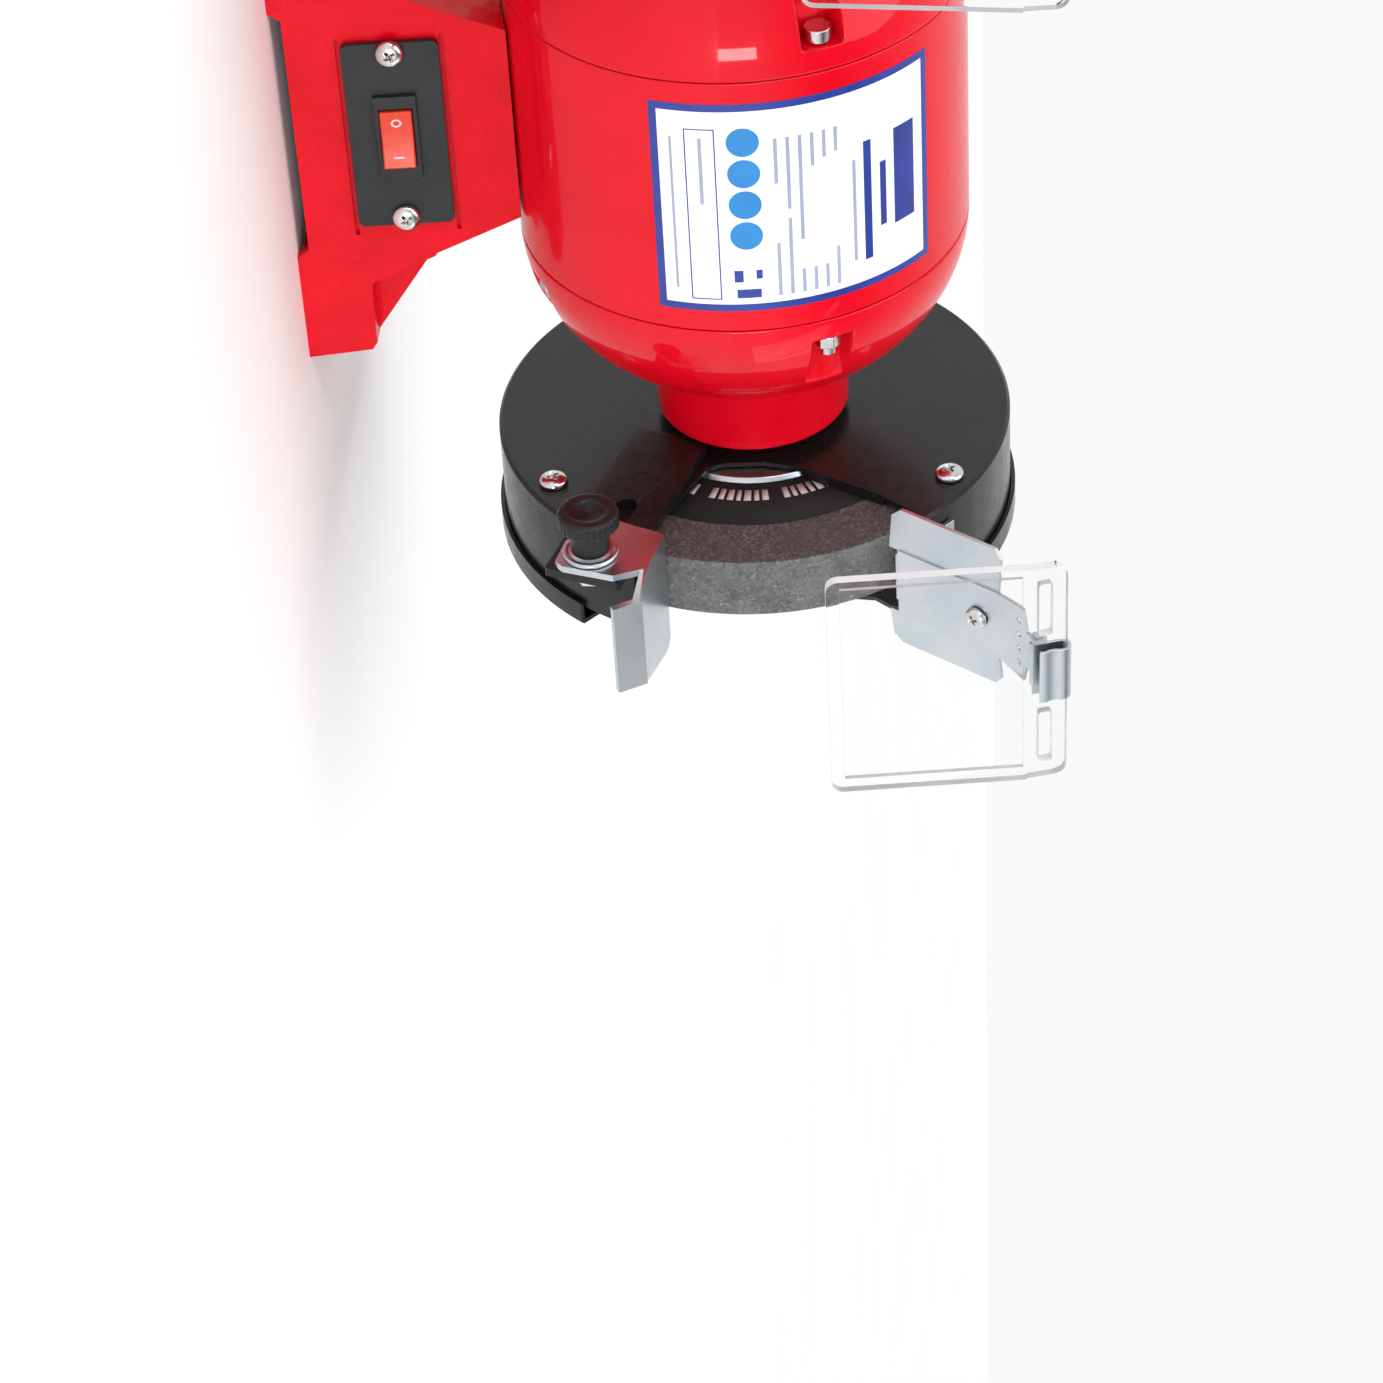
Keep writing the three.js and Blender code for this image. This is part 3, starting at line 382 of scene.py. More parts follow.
def new_object(name, bm, look):
    """Makes an object from a bmesh whose points are in millimetres."""
    bmesh.ops.scale(bm, vec=(MM, MM, MM), verts=bm.verts)
    bmesh.ops.recalc_face_normals(bm, faces=bm.faces)
    mesh = bpy.data.meshes.new(name)
    bm.to_mesh(mesh)
    bm.free()
    mesh.shade_smooth()
    piece = bpy.data.objects.new(name, mesh)
    bpy.context.scene.collection.objects.link(piece)
    mesh.materials.append(LOOKS[look])
    return piece


def soften(piece, width, segments=3, angle=32):
    """Rounds the sharp edges and keeps the flats flat."""
    bevel = piece.modifiers.new("rounded_edges", "BEVEL")
    bevel.width = width * MM
    bevel.segments = segments
    bevel.limit_method = "ANGLE"
    bevel.angle_limit = math.radians(angle)
    bevel.harden_normals = False
    normals = piece.modifiers.new("flat_faces", "WEIGHTED_NORMAL")
    normals.keep_sharp = False
    normals.weight = 80
    return piece


def even_shading(piece):
    """Shades a piece by its large faces, so that they look flat or truly round."""
    normals = piece.modifiers.new("flat_faces", "WEIGHTED_NORMAL")
    normals.weight = 50


def apply_modifiers(piece):
    bpy.context.view_layer.update()
    graph = bpy.context.evaluated_depsgraph_get()
    mesh = bpy.data.meshes.new_from_object(piece.evaluated_get(graph))
    piece.modifiers.clear()
    piece.data = mesh
    return piece


def carve(piece, *cutters):
    """Cuts the other pieces out of this one and removes them."""
    for cutter in cutters:
        boolean = piece.modifiers.new("cut", "BOOLEAN")
        boolean.operation = "DIFFERENCE"
        boolean.solver = "EXACT"
        boolean.object = cutter
    apply_modifiers(piece)
    for cutter in cutters:
        bpy.data.objects.remove(cutter)
    return piece


def stand_for(piece, node):
    """The piece replaces a CAD node and rides on its body."""
    body = frame["nodes"][node]["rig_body"]
    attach(piece, body)
    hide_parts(node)
    return piece


def skin(bm, rings, closed=True):
    """Faces from each ring of points to the next; an open run of rings has its ends capped."""
    following = rings[1:] + rings[:1] if closed else rings[1:]
    for here, there in zip(rings, following):
        for j in range(len(here)):
            k = (j + 1) % len(here)
            bm.faces.new((here[j], here[k], there[k], there[j]))
    if not closed:
        bm.faces.new(rings[0])
        bm.faces.new(rings[-1])


def turned(name, profile, look, segments=192, side=1, centre=AXIS):
    """A solid of revolution about an X line; the profile is [(x, radius), ...], closed on itself."""
    bm = bmesh.new()
    rings = []
    for i in range(segments):
        angle = 2 * math.pi * i / segments
        rings.append([
            bm.verts.new((side * x, centre.y + r * math.cos(angle), centre.z + r * math.sin(angle)))
            for x, r in profile
        ])
    skin(bm, rings)
    bmesh.ops.remove_doubles(bm, verts=bm.verts, dist=1e-4)
    return new_object(name, bm, look)


def fillet(start, corner, end, radius, steps=5):
    """Points of a round corner between two straight lines of a profile."""
    a = (Vector(start) - Vector(corner)).normalized()
    b = (Vector(end) - Vector(corner)).normalized()
    half = a.angle(b) / 2
    reach = radius / math.tan(half)
    centre = Vector(corner) + (a + b).normalized() * (radius / math.sin(half))
    first = Vector(corner) + a * reach - centre
    last = Vector(corner) + b * reach - centre
    points = []
    for i in range(steps + 1):
        spoke = (first * (1 - i / steps) + last * (i / steps)).normalized() * radius
        points.append(tuple(centre + spoke))
    return points


def rounded_profile(corners):
    """A closed profile from (x, radius, rounding) corners."""
    points = []
    for i, (x, r, rounding) in enumerate(corners):
        before, after = corners[i - 1][:2], corners[(i + 1) % len(corners)][:2]
        points += fillet(before, (x, r), after, rounding) if rounding else [(x, r)]
    return points


def copied(node):
    """A bmesh of a CAD node's solid, in millimetres, with its points merged."""
    bm = bmesh.new()
    bm.from_mesh(frame["nodes"][node].data)
    bmesh.ops.scale(bm, vec=(1 / MM,) * 3, verts=bm.verts)
    bmesh.ops.remove_doubles(bm, verts=bm.verts, dist=2e-3)
    return bm


def round_out(bm, sides, reach):
    """Turns the flats of a faceted solid about the shaft into a true round, by slicing and swelling them.

    Points further out than the reach keep their place.
    """
    step = 2 * math.pi / sides
    for i in range(sides * FINE // 2):
        if i % FINE:
            angle = i * step / FINE
            bmesh.ops.bisect_plane(
                bm, geom=bm.verts[:] + bm.edges[:] + bm.faces[:], dist=1e-4,
                plane_co=AXIS, plane_no=(0, -math.sin(angle), math.cos(angle)),
            )
    for vert in bm.verts:
        y, z = vert.co.y - AXIS.y, vert.co.z - AXIS.z
        if math.hypot(y, z) < reach:
            angle = math.atan2(z, y) % step - step / 2
            swell = math.cos(angle) / math.cos(step / 2)
            vert.co.y = AXIS.y + y * swell
            vert.co.z = AXIS.z + z * swell


def round_corners(bm, through, thickness, radius, heights=(-FAR, FAR)):
    """Rounds the corners of a sheet's outline, which are its short edges through the sheet.

    Only the corners between the two heights are rounded.
    """
    through = Vector(through).normalized()
    corners = []
    for edge in bm.edges:
        run = edge.verts[1].co - edge.verts[0].co
        height = (edge.verts[0].co.z + edge.verts[1].co.z) / 2
        short = run.length <= thickness * 1.4 and len(edge.link_faces) == 2
        if not short or not heights[0] < height < heights[1]:
            continue
        if abs(run.normalized().dot(through)) > 0.995 and edge.calc_face_angle(0) > 0.3:
            corners.append(edge)
    bmesh.ops.bevel(
        bm, geom=corners, offset=radius, segments=5, profile=0.5, affect="EDGES", clamp_overlap=True,
    )


def merge_flats(bm):
    """Merges the triangles of each flat into one face."""
    flat = math.radians(0.7)
    bmesh.ops.dissolve_limit(bm, angle_limit=flat, verts=bm.verts[:], edges=bm.edges[:])


def pair_triangles(bm):
    """Joins triangles two by two, for a pierced sheet whose flats can't each be one face."""
    bmesh.ops.join_triangles(
        bm, faces=bm.faces[:], angle_face_threshold=math.radians(1), angle_shape_threshold=math.radians(150),
    )


def refined(node, look, edge=0.3, sides=0, reach=FAR, corners=None, segments=2, pierced=False):
    """A finer piece in a CAD node's place: its turned faces made round and its edges softened."""
    bm = copied(node)
    if sides:
        round_out(bm, sides, reach)
    if pierced:
        pair_triangles(bm)
    else:
        merge_flats(bm)
    if corners:
        round_corners(bm, *corners)
    piece = new_object(node + "_fine", bm, look)
    soften(piece, edge, segments)
    return stand_for(piece, node)


def carried(node, look):
    """A CAD node that is kept, with its procedural material."""
    piece = frame["nodes"][node]
    piece.data.materials.clear()
    piece.data.materials.append(LOOKS[look])
    return piece


# ---------------------------------------------------------------- fasteners


# The parts of a head, as shares of its radius or of its height.
HEAD_HEIGHT = 0.62
HEAD_WALL = 0.28
SHANK_R = 0.42
CROSS_LONG, CROSS_WIDE, CROSS_FLOOR = 0.52, 0.13, 0.35
HEAD_SEGMENTS = 40


def head_profile(radius, height, shank):
    """(z, radius) from the shank's tip, out under the head and up over its crown."""
    steps = 10
    crown = []
    for i in range(steps, -1, -1):
        angle = math.radians(90 * i / steps)
        rise = HEAD_WALL + (1 - HEAD_WALL) * math.cos(angle)
        crown.append((height * rise, radius * math.sin(angle) ** 0.82))
    shank_r = radius * SHANK_R
    under = [(-shank, 0.0), (-shank, shank_r), (0.0, shank_r), (0.0, radius * 0.97), (height * 0.1, radius)]
    return under + crown


def cross_cutters(radius, height, place):
    """Two tapered bars that cut a head's cross recess."""
    long, wide = radius * CROSS_LONG, radius * CROSS_WIDE
    cutters = []
    for size in ((long, wide), (wide, long)):
        bar = bmesh.new()
        for share, z in ((0.55, height * CROSS_FLOOR), (1.08, height * 1.3)):
            for sx, sy in ((-1, -1), (1, -1), (1, 1), (-1, 1)):
                bar.verts.new((sx * size[0] * share, sy * size[1] * share, z))
        bmesh.ops.convex_hull(bar, input=bar.verts)
        bmesh.ops.transform(bar, matrix=place, verts=bar.verts)
        cutters.append(new_object("cross", bar, "steel"))
    return cutters


def pan_head(name, seat, outward, radius, turn, shank):
    """A cross-recessed pan head whose underside sits at a point, its crown pointing outward."""
    height = radius * HEAD_HEIGHT
    profile = head_profile(radius, height, shank)
    bm = bmesh.new()
    rings = [
        [bm.verts.new((r * math.cos(a), r * math.sin(a), z)) for z, r in profile]
        for a in (2 * math.pi * i / HEAD_SEGMENTS for i in range(HEAD_SEGMENTS))
    ]
    for here, there in zip(rings, rings[1:] + rings[:1]):
        for j in range(len(profile) - 1):
            bm.faces.new((here[j], there[j], there[j + 1], here[j + 1]))
    bmesh.ops.remove_doubles(bm, verts=bm.verts, dist=1e-4)
    turn_to = Vector(outward).to_track_quat("Z", "Y").to_matrix().to_4x4()
    place = Matrix.Translation(seat) @ turn_to @ Matrix.Rotation(turn, 4, "Z")
    bmesh.ops.transform(bm, matrix=place, verts=bm.verts)
    head = new_object(name, bm, "steel")
    carve(head, *cross_cutters(radius, height, place))
    head.data.shade_smooth()
    return soften(head, 0.08, 1, 40)


# ---------------------------------------------------------------- motor

SEAM = 41.75
DOME_LENGTH = 54.4  # from the seam to where the dome would reach the shaft's line
NECK_R, NECK_END = 29.7, 113.0
SPIGOT_R = 19.0
BOLT_ANGLES = (25, 115, 205, 295)
BOLT_SEAT = 49.3
NOTCH_FLOOR, NOTCH_HALF, NOTCH_END = 58.1, 6.0, 75.0
BEARING_R, BEARING_FLOOR = 17.8, 104.3
SHAFT_HOLE_R = 11
SHELL_WALL = 2.5


def smooth_step(value, start, end):
    t = min(1.0, max(0.0, (value - start) / (end - start)))
    return t * t * (3 - 2 * t)


def dome_radius(x):
    return MOTOR_R * math.sqrt(max(0.0, 1 - ((x - SEAM) / DOME_LENGTH) ** 2))


def bell_outline():
    """(x, radius) down the outside of a bell, from the seam to the spigot."""
    neck_x = SEAM + DOME_LENGTH * math.sqrt(1 - (NECK_R / MOTOR_R) ** 2)
    stations = [BELL_START, BELL_START + 0.25, BELL_START + 0.9]
    x = BELL_START + 1.8
    while x < BOLT_SEAT - 1.2:
        stations.append(x)
        x += 1.3
    stations += [BOLT_SEAT + 0.25 * i for i in range(-4, 6)]
    x = BOLT_SEAT + 2.2
    while x < neck_x - 1.6:
        stations.append(x)
        x += 1.0
    outline = [(x, dome_radius(x)) for x in stations]
    outline[0] = (BELL_START, MOTOR_R - 0.35)
    last, corner = outline[-1], (neck_x, NECK_R)
    root = fillet(last, corner, (NECK_END, NECK_R), 1.5, 5)
    lip = fillet((neck_x, NECK_R), (NECK_END, NECK_R), (NECK_END, SPIGOT_R), 1.3, 6)
    return outline + root + lip + [(NECK_END, SPIGOT_R), (BELL_END, SPIGOT_R)]


def notch_radius(x, r, angle):
    """The bell's radius at a place on it, sunk where a bolt's pocket is."""
    for bolt in BOLT_ANGLES:
        turn = (math.degrees(angle) + bolt) % 360 - 180
        if abs(turn) > 12 or x > NOTCH_END:
            continue
        across = abs(r * math.sin(math.radians(turn)))
        inside = 1 - smooth_step(across, NOTCH_HALF - 0.5, NOTCH_HALF + 0.6)
        inside *= smooth_step(x, BOLT_SEAT - 0.55, BOLT_SEAT + 0.45)
        floor = NOTCH_FLOOR / math.cos(math.radians(turn))
        sink = max(0.0, r - floor)
        return r - sink * inside
    return r


def bell_angles():
    """Angles round a bell in degrees, closer together at the walls of the bolt pockets."""
    angles = {round(i * 1.5, 4) for i in range(240)}
    for bolt in BOLT_ANGLES:
        for radius in (60, 64):
            for i in range(-3, 5):
                off = math.degrees(math.asin((NOTCH_HALF + 0.2 * i) / radius))
                angles.update({round((180 - bolt + off) % 360, 4), round((180 - bolt - off) % 360, 4)})
    ordered = sorted(angles)
    kept = [ordered[0]]
    for angle in ordered[1:]:
        if angle - kept[-1] > 0.06:
            kept.append(angle)
    return kept


def make_bell(side):
    sign = SIDES[side]
    outer = bell_outline()
    inner = [
        (BELL_END, SHAFT_HOLE_R), (BEARING_FLOOR, SHAFT_HOLE_R), (BEARING_FLOOR, BEARING_R),
        (90, BEARING_R), (88, 25), (64, 51), (BELL_START, MOTOR_R - 8),
    ]
    bm = bmesh.new()
    rings = []
    for degrees in bell_angles():
        angle = math.radians(degrees)
        ring = []
        for i, (x, r) in enumerate(outer + inner):
            radius = notch_radius(x, r, angle) if i < len(outer) else r
            ring.append(bm.verts.new((
                sign * x, AXIS.y + radius * math.cos(angle), AXIS.z + radius * math.sin(angle),
            )))
        rings.append(ring)
    skin(bm, rings)
    piece = new_object(f"{side}_bell_casting", bm, "gloss_red")
    even_shading(piece)
    return stand_for(piece, f"{side}_bell")


def make_shell():
    inner, edge = MOTOR_R - SHELL_WALL, 0.45
    corners = [
        (-SHELL_END, inner, 0), (-SHELL_END, MOTOR_R, edge),
        (SHELL_END, MOTOR_R, edge), (SHELL_END, inner, 0),
    ]
    piece = turned("motor_casing", rounded_profile(corners), "gloss_red")
    even_shading(piece)
    return stand_for(piece, "motor_shell")


def make_motor():
    make_shell()
    for side in SIDES:
        make_bell(side)
        refined(f"{side}_bearing", "steel", 0.2, 24)
    for i in range(1, 5):
        refined(f"through_bolt_{i}", "steel", 0.35)
    refined("drive_shaft", "steel", 0.25, 20)
    carried("stator_core", "lamination")
    carried("stator_winding", "copper")
    carried("rotor_core", "lamination")


# ---------------------------------------------------------------- rating label

LABEL_LEFT, LABEL_RIGHT = -35.0, 34.5
LABEL_TOP, LABEL_FOOT = math.radians(55.5), math.radians(-18.4)
LABEL_BORDER = 2.4
PAPER, WHITE, INK = 0.07, 0.10, 0.125  # heights of the label's layers above the paint
FILM = 0.06

# Label shapes are (left, right, top, foot): across it from its middle, and down from its top.
HEADING = ((-15, 17, 6.2, 14.2), (-6, 15.5, 17.2, 19.4), (-15, 25, 22.4, 25))
MARKS = ((20.5, 23.5, 56.5, 58.3), (20.5, 24.5, 62, 64.6), (27, 30, 57, 64))
LOOSE_ROWS = ((-24, -2, 72.2, 73.3), (-24, 27, 80.8, 81.6))
ROWS_LEFT, ROWS_RIGHT, ROWS_TOP, ROW_STEP, ROW_TALL = -23, 30, 33.2, 3.55, 1.1
ROW_LENGTHS = ((8, 13), (9, 8), (11, 8), (35, 8), (24, 26), (15, 18))
BOX, BOX_LINE = (-27, 30.5, 68.4, 77.2), 0.4
DISC_R, DISC_DOWN, DISC_START, DISC_STEP = 4.7, 60.6, -22.5, 10.4


def on_casing(across, down, lift):
    """A point on the casing: across the label, down along its curve from its top, and above the paint."""
    angle = LABEL_TOP - down / MOTOR_R
    radius = MOTOR_R + lift
    return Vector((across, AXIS.y - radius * math.cos(angle), AXIS.z + radius * math.sin(angle)))


def add_patch(bm, left, right, top, foot, lift):
    """A thin closed strip wrapped on the casing."""
    steps = max(1, int((foot - top) / 1.2))
    rows = []
    for i in range(steps + 1):
        down = top + (foot - top) * i / steps
        rows.append([
            bm.verts.new(on_casing(x, down, h))
            for x, h in ((left, lift - FILM), (right, lift - FILM), (right, lift), (left, lift))
        ])
    skin(bm, rows, closed=False)


def add_disc(bm, across, down, radius, lift):
    """A thin round patch on the casing, in rings so that it follows the curve."""
    count, rings = 40, 5
    sizes = [radius * (i + 1) / rings for i in range(rings)]
    loops = []
    for size, height in [(r, lift - FILM) for r in sizes] + [(r, lift) for r in reversed(sizes)]:
        loops.append([
            bm.verts.new(on_casing(
                across + size * math.cos(2 * math.pi * i / count),
                down + size * math.sin(2 * math.pi * i / count), height,
            ))
            for i in range(count)
        ])
    skin(bm, loops, closed=False)


def label_piece(name, look, patches=(), discs=()):
    bm = bmesh.new()
    for patch in patches:
        add_patch(bm, *patch)
    for disc in discs:
        add_disc(bm, *disc)
    piece = new_object(name, bm, look)
    for polygon in piece.data.polygons:
        polygon.use_smooth = False
    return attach(piece, "root")


def row_bars():
    """The label's rows of small text as bars, each row in a left and a right column."""
    rows = [(-10, 24, 27.6, 28.7)]
    for i, (left_length, right_length) in enumerate(ROW_LENGTHS):
        top = ROWS_TOP + ROW_STEP * i
        rows.append((ROWS_LEFT, ROWS_LEFT + left_length, top, top + ROW_TALL))
        rows.append((ROWS_RIGHT - right_length, ROWS_RIGHT, top, top + ROW_TALL))
    return rows + list(LOOSE_ROWS)


def box_lines():
    left, right, top, foot = BOX
    return [
        (left, right, top, top + BOX_LINE), (left, right, foot - BOX_LINE, foot),
        (left, left + BOX_LINE, top, foot), (right - BOX_LINE, right, top, foot),
    ]


def make_label():
    """A rating label with its text as plain bars and its marks as plain shapes."""
    height = (LABEL_TOP - LABEL_FOOT) * MOTOR_R
    inset = LABEL_BORDER
    whole = (LABEL_LEFT, LABEL_RIGHT, 0, height)
    field = (LABEL_LEFT + inset, LABEL_RIGHT - inset, inset, height - inset)
    layers = (
        ("label_border", "label_blue", [whole], PAPER),
        ("label_field", "label_white", [field], WHITE),
        ("label_heading", "label_blue", HEADING + MARKS, INK),
        ("label_text_bars", "label_grey", row_bars(), INK),
        ("label_box", "label_blue", box_lines(), INK),
    )
    for name, look, shapes, lift in layers:
        label_piece(name, look, [(*shape, lift) for shape in shapes])
    discs = [(DISC_START + DISC_STEP * i, DISC_DOWN, DISC_R, INK) for i in range(4)]
    label_piece("label_discs", "label_sky", (), discs)


# ---------------------------------------------------------------- wheels

BORE_R = 6.65
BLOTTER_HOLE_R, BLOTTER_R, BLOTTER_THICK = 12, 56.2, 0.13
TICKS_INNER, TICKS_OUTER, TICKS_THICK = 39.0, 44.2, 0.03
TICK_GAP, WORD_GAP = 1.3, 5.0  # degrees round the wheel
TICK_WIDTHS = (2.6, 2.0, 2.9, 1.8, 2.5, 2.2)
WORD_LENGTHS = (7, 5, 8, 4, 9, 6)


def make_blotter(name, x, thick):
    """The paper disc between a wheel and its flange."""
    low, high = sorted((x, x + thick))
    inner, outer = BLOTTER_HOLE_R, BLOTTER_R
    profile = [(low, inner), (low, outer), (high, outer), (high, inner)]
    return turned(name, profile, "label_black", 144)


def make_ticks(name, x, thick):
    """Short plain blocks round a wheel's blotter."""
    bm = bmesh.new()
    inner, outer = TICKS_INNER, TICKS_OUTER
    for start, end in word_spans():
        steps = max(1, int(end - start))
        rows = []
        for i in range(steps + 1):
            angle = math.radians(start + (end - start) * i / steps)
            rows.append([
                bm.verts.new((px, AXIS.y + r * math.cos(angle), AXIS.z + r * math.sin(angle)))
                for px, r in ((x, inner), (x, outer), (x + thick, outer), (x + thick, inner))
            ])
        skin(bm, rows, closed=False)
    return new_object(name, bm, "ink_faded")


def word_spans():
    """(start, end) of blocks in degrees, grouped like words all the way round."""
    spans, angle, word = [], 0.0, 0
    while angle < 345:
        for i in range(WORD_LENGTHS[word % len(WORD_LENGTHS)]):
            wide = TICK_WIDTHS[(i + word) % len(TICK_WIDTHS)]
            spans.append((angle, angle + wide))
            angle += wide + TICK_GAP
            if angle > 350:
                break
        angle += WORD_GAP
        word += 1
    return spans


def wheel_profile():
    """The wheel's outline, with points close enough together for an even surface."""
    edge = 0.8
    outline = rounded_profile([
        (WHEEL_NEAR, BORE_R, 0), (WHEEL_NEAR, WHEEL_R, edge),
        (WHEEL_FAR, WHEEL_R, edge), (WHEEL_FAR, BORE_R, 0),
    ])
    dense = []
    for (xa, ra), (xb, rb) in zip(outline, outline[1:] + outline[:1]):
        pieces = max(1, int(math.hypot(xb - xa, rb - ra) / 2.5))
        dense += [(xa + (xb - xa) * i / pieces, ra + (rb - ra) * i / pieces) for i in range(pieces)]
    return dense


def make_wheel(side):
    sign = SIDES[side]
    wheel = turned(f"{side}_wheel_abrasive", wheel_profile(), "abrasive", 256, sign)
    # The flat side faces get the painted-shade material, darker and browner than the rim.
    wheel.data.materials.append(LOOKS["abrasive_painted_shade"])
    for polygon in wheel.data.polygons:
        if abs(polygon.normal.x) > 0.9:
            polygon.material_index = 1
    even_shading(wheel)
    stand_for(wheel, f"{side}_grinding_wheel")
    for place, x in (("inner", WHEEL_NEAR), ("outer", WHEEL_FAR)):
        away = -1 if place == "inner" else 1
        near = sign * (x + away * 0.05)
        thick = sign * away * BLOTTER_THICK
        paper = make_blotter(f"{side}_{place}_blotter", near, thick)
        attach(paper, "rotor")
        ink = make_ticks(f"{side}_{place}_blotter_ticks", near + thick, sign * away * TICKS_THICK)
        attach(ink, "rotor")
    refined(f"{side}_inner_flange", "zinc", 0.35, 28)
    refined(f"{side}_outer_flange", "zinc", 0.35, 28)
    refined(f"{side}_spindle_nut", "steel", 0.4, 24, reach=7.5, segments=3)


# ---------------------------------------------------------------- guards

SCREW_CIRCLE_R = 71.8
COVER_SCREW_ANGLES = (60, 180, -60)
DRUM_HEAD_R, COVER_HEAD_R = 4.4, 4.0


def on_face(x, degrees):
    """A point on the guard's circle of screws; the angle goes up from the operator's side."""
    angle = math.radians(degrees)
    out = SCREW_CIRCLE_R
    return Vector((x, AXIS.y - out * math.cos(angle), AXIS.z + out * math.sin(angle)))


def make_guard(side):
    sign = SIDES[side]
    refined(f"{side}_guard_drum", "satin_black", 0.45, 48, segments=3)
    refined(f"{side}_guard_cover", "satin_black", 0.4, 48, segments=3)
    inward = Vector((-sign, 0, 0))
    for place in ("upper", "lower"):
        node = f"{side}_{place}_guard_screw"
        seat = middle(node)
        seat.x = sign * (DRUM_NEAR - 0.3)
        head = pan_head(f"{side}_{place}_guard_screw_head", seat, inward, DRUM_HEAD_R, turn=0.5, shank=2.4)
        stand_for(head, node)
    seat = on_face(sign * DRUM_NEAR, 180)
    head = pan_head(f"{side}_rear_guard_screw_head", seat, inward, DRUM_HEAD_R, turn=0.2, shank=1.2)
    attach(head, "root")
    for i, degrees in enumerate(COVER_SCREW_ANGLES):
        seat = on_face(sign * COVER_FAR, degrees)
        head = pan_head(f"{side}_cover_screw_{i + 1}", seat, -inward, COVER_HEAD_R, turn=0.4 + i, shank=1.0)
        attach(head, "root")


# ---------------------------------------------------------------- tool rest

ARM_THICK, ARM_CORNER_R = 2.95, 2.0
KNOB_CAP = 5.7
KNOB_HOLE_R = 3.2
FLUTES, FLUTE_DEPTH = 30, 0.28


def knob_stations(length, cap_r):
    """(distance from the knob's tip, radius, share of the flutes' depth) round its section."""
    cap, hole = KNOB_CAP, KNOB_HOLE_R
    rim = [
        (0.0, 5.4, 0), (0.0, cap_r - 1.5, 0), (0.4, cap_r - 0.6, 0.5), (1.2, cap_r, 1),
        (cap - 1.0, cap_r, 1), (cap - 0.35, cap_r - 0.4, 0.6), (cap, cap_r - 1.3, 0),
    ]
    neck = [(cap + 0.2, 6.3, 0), (length - 0.3, 5.9, 0), (length, 5.6, 0)]
    inside = [(length, hole, 0), (2.9, hole, 0), (2.9, 0.4, 0)]
    dish = [(1.2, 0.4, 0), (1.0, 4.3, 0), (0.4, 4.9, 0)]
    return rim + neck + inside + dish


def make_knob(side):
    """A round cap with fine flutes on a narrower neck."""
    sign = SIDES[side]
    low, high = box_mm(f"{side}_rest_knob")
    centre = (low + high) / 2
    tip, foot = (low.x, high.x) if sign > 0 else (high.x, low.x)
    stations = knob_stations(abs(foot - tip), (high.z - low.z) / 2)
    count = FLUTES * 8
    bm = bmesh.new()
    rings = []
    for i in range(count):
        angle = 2 * math.pi * i / count
        groove = FLUTE_DEPTH * (0.5 - 0.5 * math.cos(angle * FLUTES)) ** 2
        rings.append([
            bm.verts.new((
                tip + math.copysign(x, foot - tip),
                centre.y + (r - groove * fluted) * math.cos(angle),
                centre.z + (r - groove * fluted) * math.sin(angle),
            ))
            for x, r, fluted in stations
        ])
    skin(bm, rings)
    knob = new_object(f"{side}_rest_knob_moulding", bm, "black_plastic")
    soften(knob, 0.15, 1, 50)
    return stand_for(knob, f"{side}_rest_knob")


def make_washer(side):
    """A domed washer with a raised bright rim."""
    sign = SIDES[side]
    low, high = box_mm(f"{side}_rest_washer")
    centre = (low + high) / 2
    near = low.x if sign > 0 else high.x
    radius = (high.z - low.z) / 2
    thick = high.x - low.x
    hole_r = 3.3
    shape = [
        (thick, hole_r), (thick, radius), (thick * 0.55, radius), (thick * 0.2, radius - 0.35),
        (thick * 0.2, radius - 1.1), (thick * 0.45, radius - 1.7), (0.0, radius - 2.6), (0.0, hole_r),
    ]
    profile = [(abs(near) + x, r) for x, r in shape]
    washer = turned(f"{side}_rest_washer_plate", profile, "zinc", 96, sign, centre)
    soften(washer, 0.12, 2, 25)
    return stand_for(washer, f"{side}_rest_washer")


def make_tool_rest(side):
    strap = ((1, 0, 0), ARM_THICK, ARM_CORNER_R)
    refined(f"{side}_rest_arm", "satin_black", 0.4, corners=strap, segments=3)
    refined(f"{side}_tool_rest", "zinc", 0.6, segments=4)
    make_knob(side)
    make_washer(side)
    refined(f"{side}_rest_bolt", "steel")


# ---------------------------------------------------------------- deflector and shield

# The slope of the deflector's plate and of its flap, and places that the CAD solids share.
LEAN = math.radians(34.6)
BEHIND = Vector((0, math.cos(LEAN), math.sin(LEAN)))
FLAP_UP = Vector((0, -0.804, 0.595))
FLAP_NORMAL = Vector((0, 0.595, 0.804))
HINGE = AXIS + Vector((0, -107.6, 87.4))
PANE_BEND = AXIS + Vector((0, -116.2, 84.2))
FLANGE_LEAN = math.atan2(3.0, 11.8)  # how far the pane's top flange leans forward
SWING = {"right": 0.0, "left": math.radians(10)}
FLAP_FOOT = AXIS + Vector((0, -91.9, 75.8))
PLATE_THICK, PLATE_CORNER_R = 1.2, 2.6
WING_START, WING_LEAN = 12.0, 0.15
FLAP_CORNER, FLAP_GROWTH = (-11.2, -10.5), 3.2  # where the flap's narrow corner is, and how far it moves out
FLAP_HOLE_R, FLAP_HOLE_UP, FLAP_HOLE_START, FLAP_HOLE_STEP = 1.05, 10.2, -8.6, 5.2
PANE_THICK = 3.2
PANE_CORNER_R, RECESS_CORNER_R = 3.6, 0.9
CLAMP_HALF, CLAMP_SHEET = 9.4, 1.0
EAR_R, HINGE_PIN_R = 2.4, 1.5
